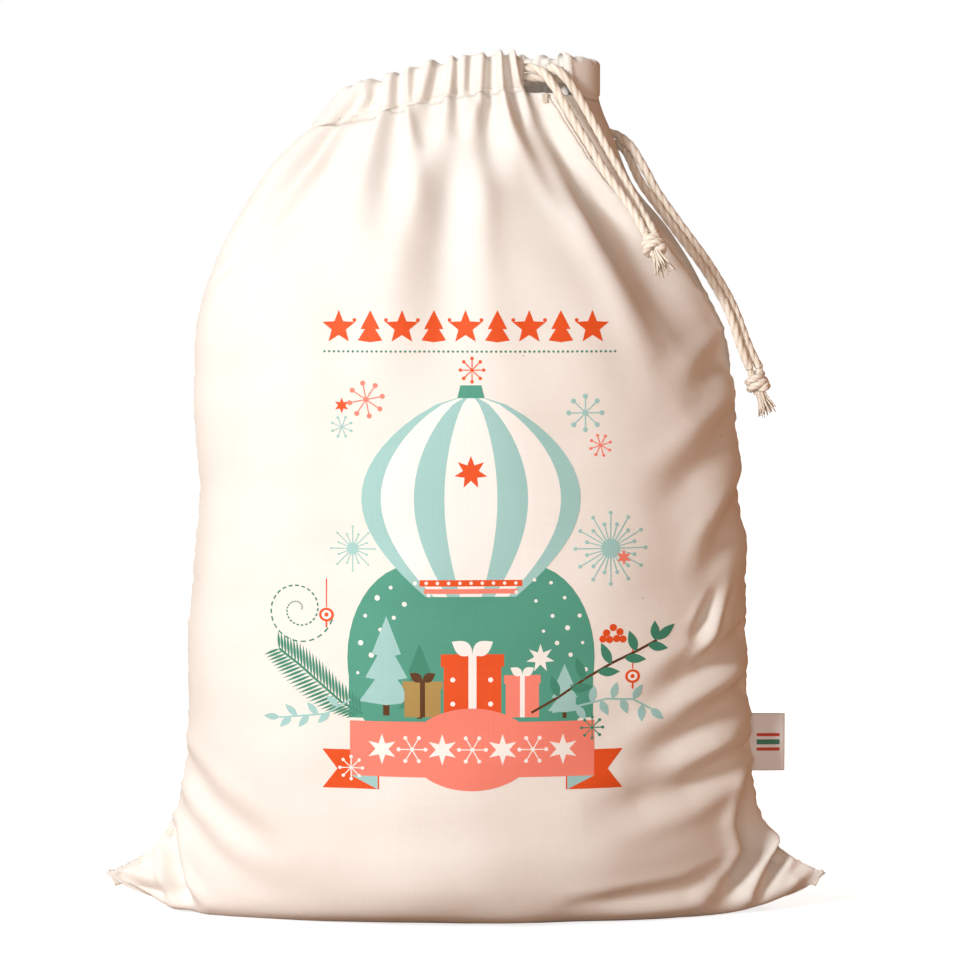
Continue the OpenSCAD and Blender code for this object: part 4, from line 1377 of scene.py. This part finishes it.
# %% The ribbon under it all
for way in (-1, 1):
    at = 5 + way * 62
    tip = 5 + way * 100
    ink("orange", [(at, 98), (tip, 98), (tip - way * 10, 111.2), (tip, 124.4), (at, 124.4)])
    ink("aqua", [(5 + way * 63, 98), (5 + way * 81, 106.8), (5 + way * 63, 106.8)])
ink("coral", [(-76.4, 106.8), (85.9, 106.8), (85.9, 144), (-76.4, 144)])
ink("coral", disc(4.7, 125.4, 42, 27.6, count=48))
for i in range(7):
    x = -55 + i * 20
    if i % 2 == 0:
        ink("white", star(x, 125.4, 10.4, 4.3, 6))
    else:
        snowflake("white", x, 125.4, 10.6, arms=6)
snowflake("white", -75.7, 112, 9.0)
snowflake("green", 84.5, 139, 8.4)
print(len(prints), "outlines")

# %% [markdown]
# ## Inks
# Screen ink lies on top of the threads and follows the weave under it, so each ink is one flat
# colour over the same weave as the cloth.

# %% Inks
INKS = {"orange": (232, 86, 31), "coral": (247, 138, 120), "teal": (82, 160, 138), "green": (66, 142, 118),
        "aqua": (163, 209, 206), "white": (250, 249, 245), "brown": (92, 58, 26), "ochre": (176, 146, 84)}
ink_materials = {name: plain_cloth(f"ink_{name}", from_screen(*colour), roughness=0.62,
                                   pitch=THREAD_PITCH, strength=0.22, sheen=0.0)
                 for name, colour in INKS.items()}

# %% Cut the print into triangles and lay it on the cloth
PRINT_GRID = 3.5


def divided(outline):
    """An outline with no edge longer than the grid's step, so that it bends with the cloth."""
    points = []
    for (x0, z0), (x1, z1) in zip(outline, outline[1:] + outline[:1]):
        count = max(1, math.ceil(math.hypot(x1 - x0, z1 - z0) / PRINT_GRID))
        points += [(x0 + (x1 - x0) * i / count, z0 + (z1 - z0) * i / count) for i in range(count)]
    return points


corners, rims = [], []
for name, outline in prints:
    outline = divided(outline)
    rims += [(len(corners) + i, len(corners) + (i + 1) % len(outline)) for i in range(len(outline))]
    corners += outline
xs, zs = np.arange(-134, 146, PRINT_GRID), np.arange(94, 420, PRINT_GRID)
corners += [(x + 0.37 * (i % 3), z + 0.41 * (j % 3)) for i, x in enumerate(xs) for j, z in enumerate(zs)]
flat, _, cut, _, _, _ = delaunay_2d_cdt([Vector(c) for c in corners], rims, [], 0, 0.01)
flat_xz = np.array([tuple(c) for c in flat])
centres = flat_xz[np.array(cut)].mean(1)
owner = np.full(len(cut), -1)
for n, (name, outline) in enumerate(prints):
    rim = np.array(outline)
    near = np.flatnonzero(((centres > rim.min(0)) & (centres < rim.max(0))).all(1))
    px, pz = centres[near, 0], centres[near, 1]
    inside = np.zeros(len(near), bool)
    for (x0, z0), (x1, z1) in zip(rim, np.roll(rim, -1, 0)):
        if z0 != z1:
            inside ^= ((z0 > pz) != (z1 > pz)) & (px < x0 + (x1 - x0) * (pz - z0) / (z1 - z0))
    owner[near[inside]] = n
topmost = owner[owner >= 0]
triangles = [cut[i] for i in np.flatnonzero(owner >= 0)]
cloth = panels["cloth_front"].data
front_surface = BVHTree.FromPolygons([v.co for v in cloth.vertices], [p.vertices for p in cloth.polygons])
INK_LIFT = 0.2 * MM
placed = {}
for triangle in triangles:
    for i in triangle:
        if i not in placed:
            start = Vector((flat[i].x * MM, -1, flat[i].y * MM))
            hit, normal, _, _ = front_surface.ray_cast(start, Vector((0, 1, 0)))
            placed[i] = hit + normal * INK_LIFT
order = {i: n for n, i in enumerate(placed)}
names = list(INKS)
shape = (np.array([placed[i] for i in order]), [tuple(order[i] for i in t) for t in triangles],
         [[(flat[i].x * MM, flat[i].y * MM) for i in t] for t in triangles])
print_film = mesh_piece("print_film", shape)
for name in names:
    print_film.data.materials.append(ink_materials[name])
print_film.data.polygons.foreach_set("material_index", [names.index(prints[i][0]) for i in topmost])
facing = print_film.data.polygons[0].normal.y
if facing > 0:
    print_film.data.flip_normals()
thicken(print_film, 0.2 * MM)
print_film.data.set_sharp_from_angle(angle=0.8)
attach(print_film, "sack")
print("print", len(triangles), "triangles, first facing", round(facing, 2))

# %% [markdown]
# ## Light
# One strong soft lamp from the left and in front makes the pale side nearly white and lets every
# crease on the right fall into shade. Five weaker ones keep the other sides readable. One of them is
# orange and the air is warm too, because the shade on raw cotton is warmer than its lit side.

# %% Lamps
def area_light(name, place, aim, size, power, colour):
    light = bpy.data.lights.new(name, "AREA")
    light.size = size
    light.energy = power
    light.color = colour
    lamp = bpy.data.objects.new(name, light)
    lamp.location = place
    lamp.rotation_euler = (Vector(aim) - Vector(place)).to_track_quat("-Z", "Y").to_euler()
    bpy.context.scene.collection.objects.link(lamp)
    return lamp


area_light("key", (-1.75, -2.45, 1.25), (0, 0, 0.3), 0.6, 86, (0.985, 0.99, 1.0))
area_light("left", (-2.6, -0.5, 0.9), (0, 0, 0.3), 1.0, 5, (1.0, 0.99, 0.97))
area_light("front", (0.0, -3.0, 0.6), (0, 0, 0.3), 1.4, 24, (1.0, 0.985, 0.96))
area_light("warm_side", (2.1, -0.3, 0.5), (0, 0, 0.3), 0.9, 5, (1.0, 0.36, 0.10))
area_light("behind", (-0.5, 2.8, 1.3), (0, 0, 0.3), 1.2, 36, (1.0, 0.98, 0.95))
area_light("top", (-0.9, 0.4, 2.1), (0, 0, 0.4), 0.8, 12, (1.0, 0.98, 0.95))
bpy.context.scene.view_settings.view_transform = "Standard"

# %% [markdown]
# ## The air and the floor
# The camera sees white air, and the sack is lit by a dim warm one, so the shade keeps its colour.
# The floor glows for the camera, more strongly further out, so that it runs into the air.

# %% The air and the floor
world = bpy.data.worlds.new("studio")
bpy.context.scene.world = world
world.use_nodes = True
air = world.node_tree
seen = air.nodes["Background"]
seen.inputs[0].default_value = (1, 1, 1, 1)
seen.inputs[1].default_value = 1.0
lit = add_node(air, "ShaderNodeBackground", {0: (1.0, 0.45, 0.17, 1), 1: 0.16})
ray = add_node(air, "ShaderNodeLightPath")
both = add_node(air, "ShaderNodeMixShader")
air.links.new(ray.outputs["Is Camera Ray"], both.inputs[0])
air.links.new(lit.outputs[0], both.inputs[1])
air.links.new(seen.outputs[0], both.inputs[2])
air.links.new(both.outputs[0], air.nodes["World Output"].inputs[0])

floor_mesh = bpy.data.meshes.new("floor")
FLOOR_Z = -0.0005
floor_corners = [(x, y, FLOOR_Z) for x, y in ((-30, -6), (30, -6), (30, 60), (-30, 60))]
floor_mesh.from_pydata(floor_corners, [], [(0, 1, 2, 3)])
floor = bpy.data.objects.new("floor", floor_mesh)
bpy.context.scene.collection.objects.link(floor)
floor_material = bpy.data.materials.new("pale_floor")
floor_material.use_nodes = True
ground = floor_material.node_tree
matt = ground.nodes["Principled BSDF"]
matt.inputs["Roughness"].default_value = 1.0
matt.inputs["Specular IOR Level"].default_value = 0.0
matt.inputs["Emission Color"].default_value = (1, 1, 1, 1)
looking = add_node(ground, "ShaderNodeLightPath").outputs["Is Camera Ray"]
ground_colour = mix_colour(ground, looking, (0.42, 0.26, 0.17, 1), (0.5, 0.5, 0.5, 1))
ground.links.new(ground_colour, matt.inputs["Base Color"])
place = add_node(ground, "ShaderNodeNewGeometry").outputs["Position"]
away = add_node(ground, "ShaderNodeVectorMath", {0: place}, operation="LENGTH").outputs["Value"]
reach = add_node(ground, "ShaderNodeMapRange", {0: away, 1: 0.25, 2: 1.2, 3: 0.80, 4: 1.02}).outputs[0]
ground.links.new(maths(ground, "MULTIPLY", looking, reach), matt.inputs["Emission Strength"])
floor_mesh.materials.append(floor_material)
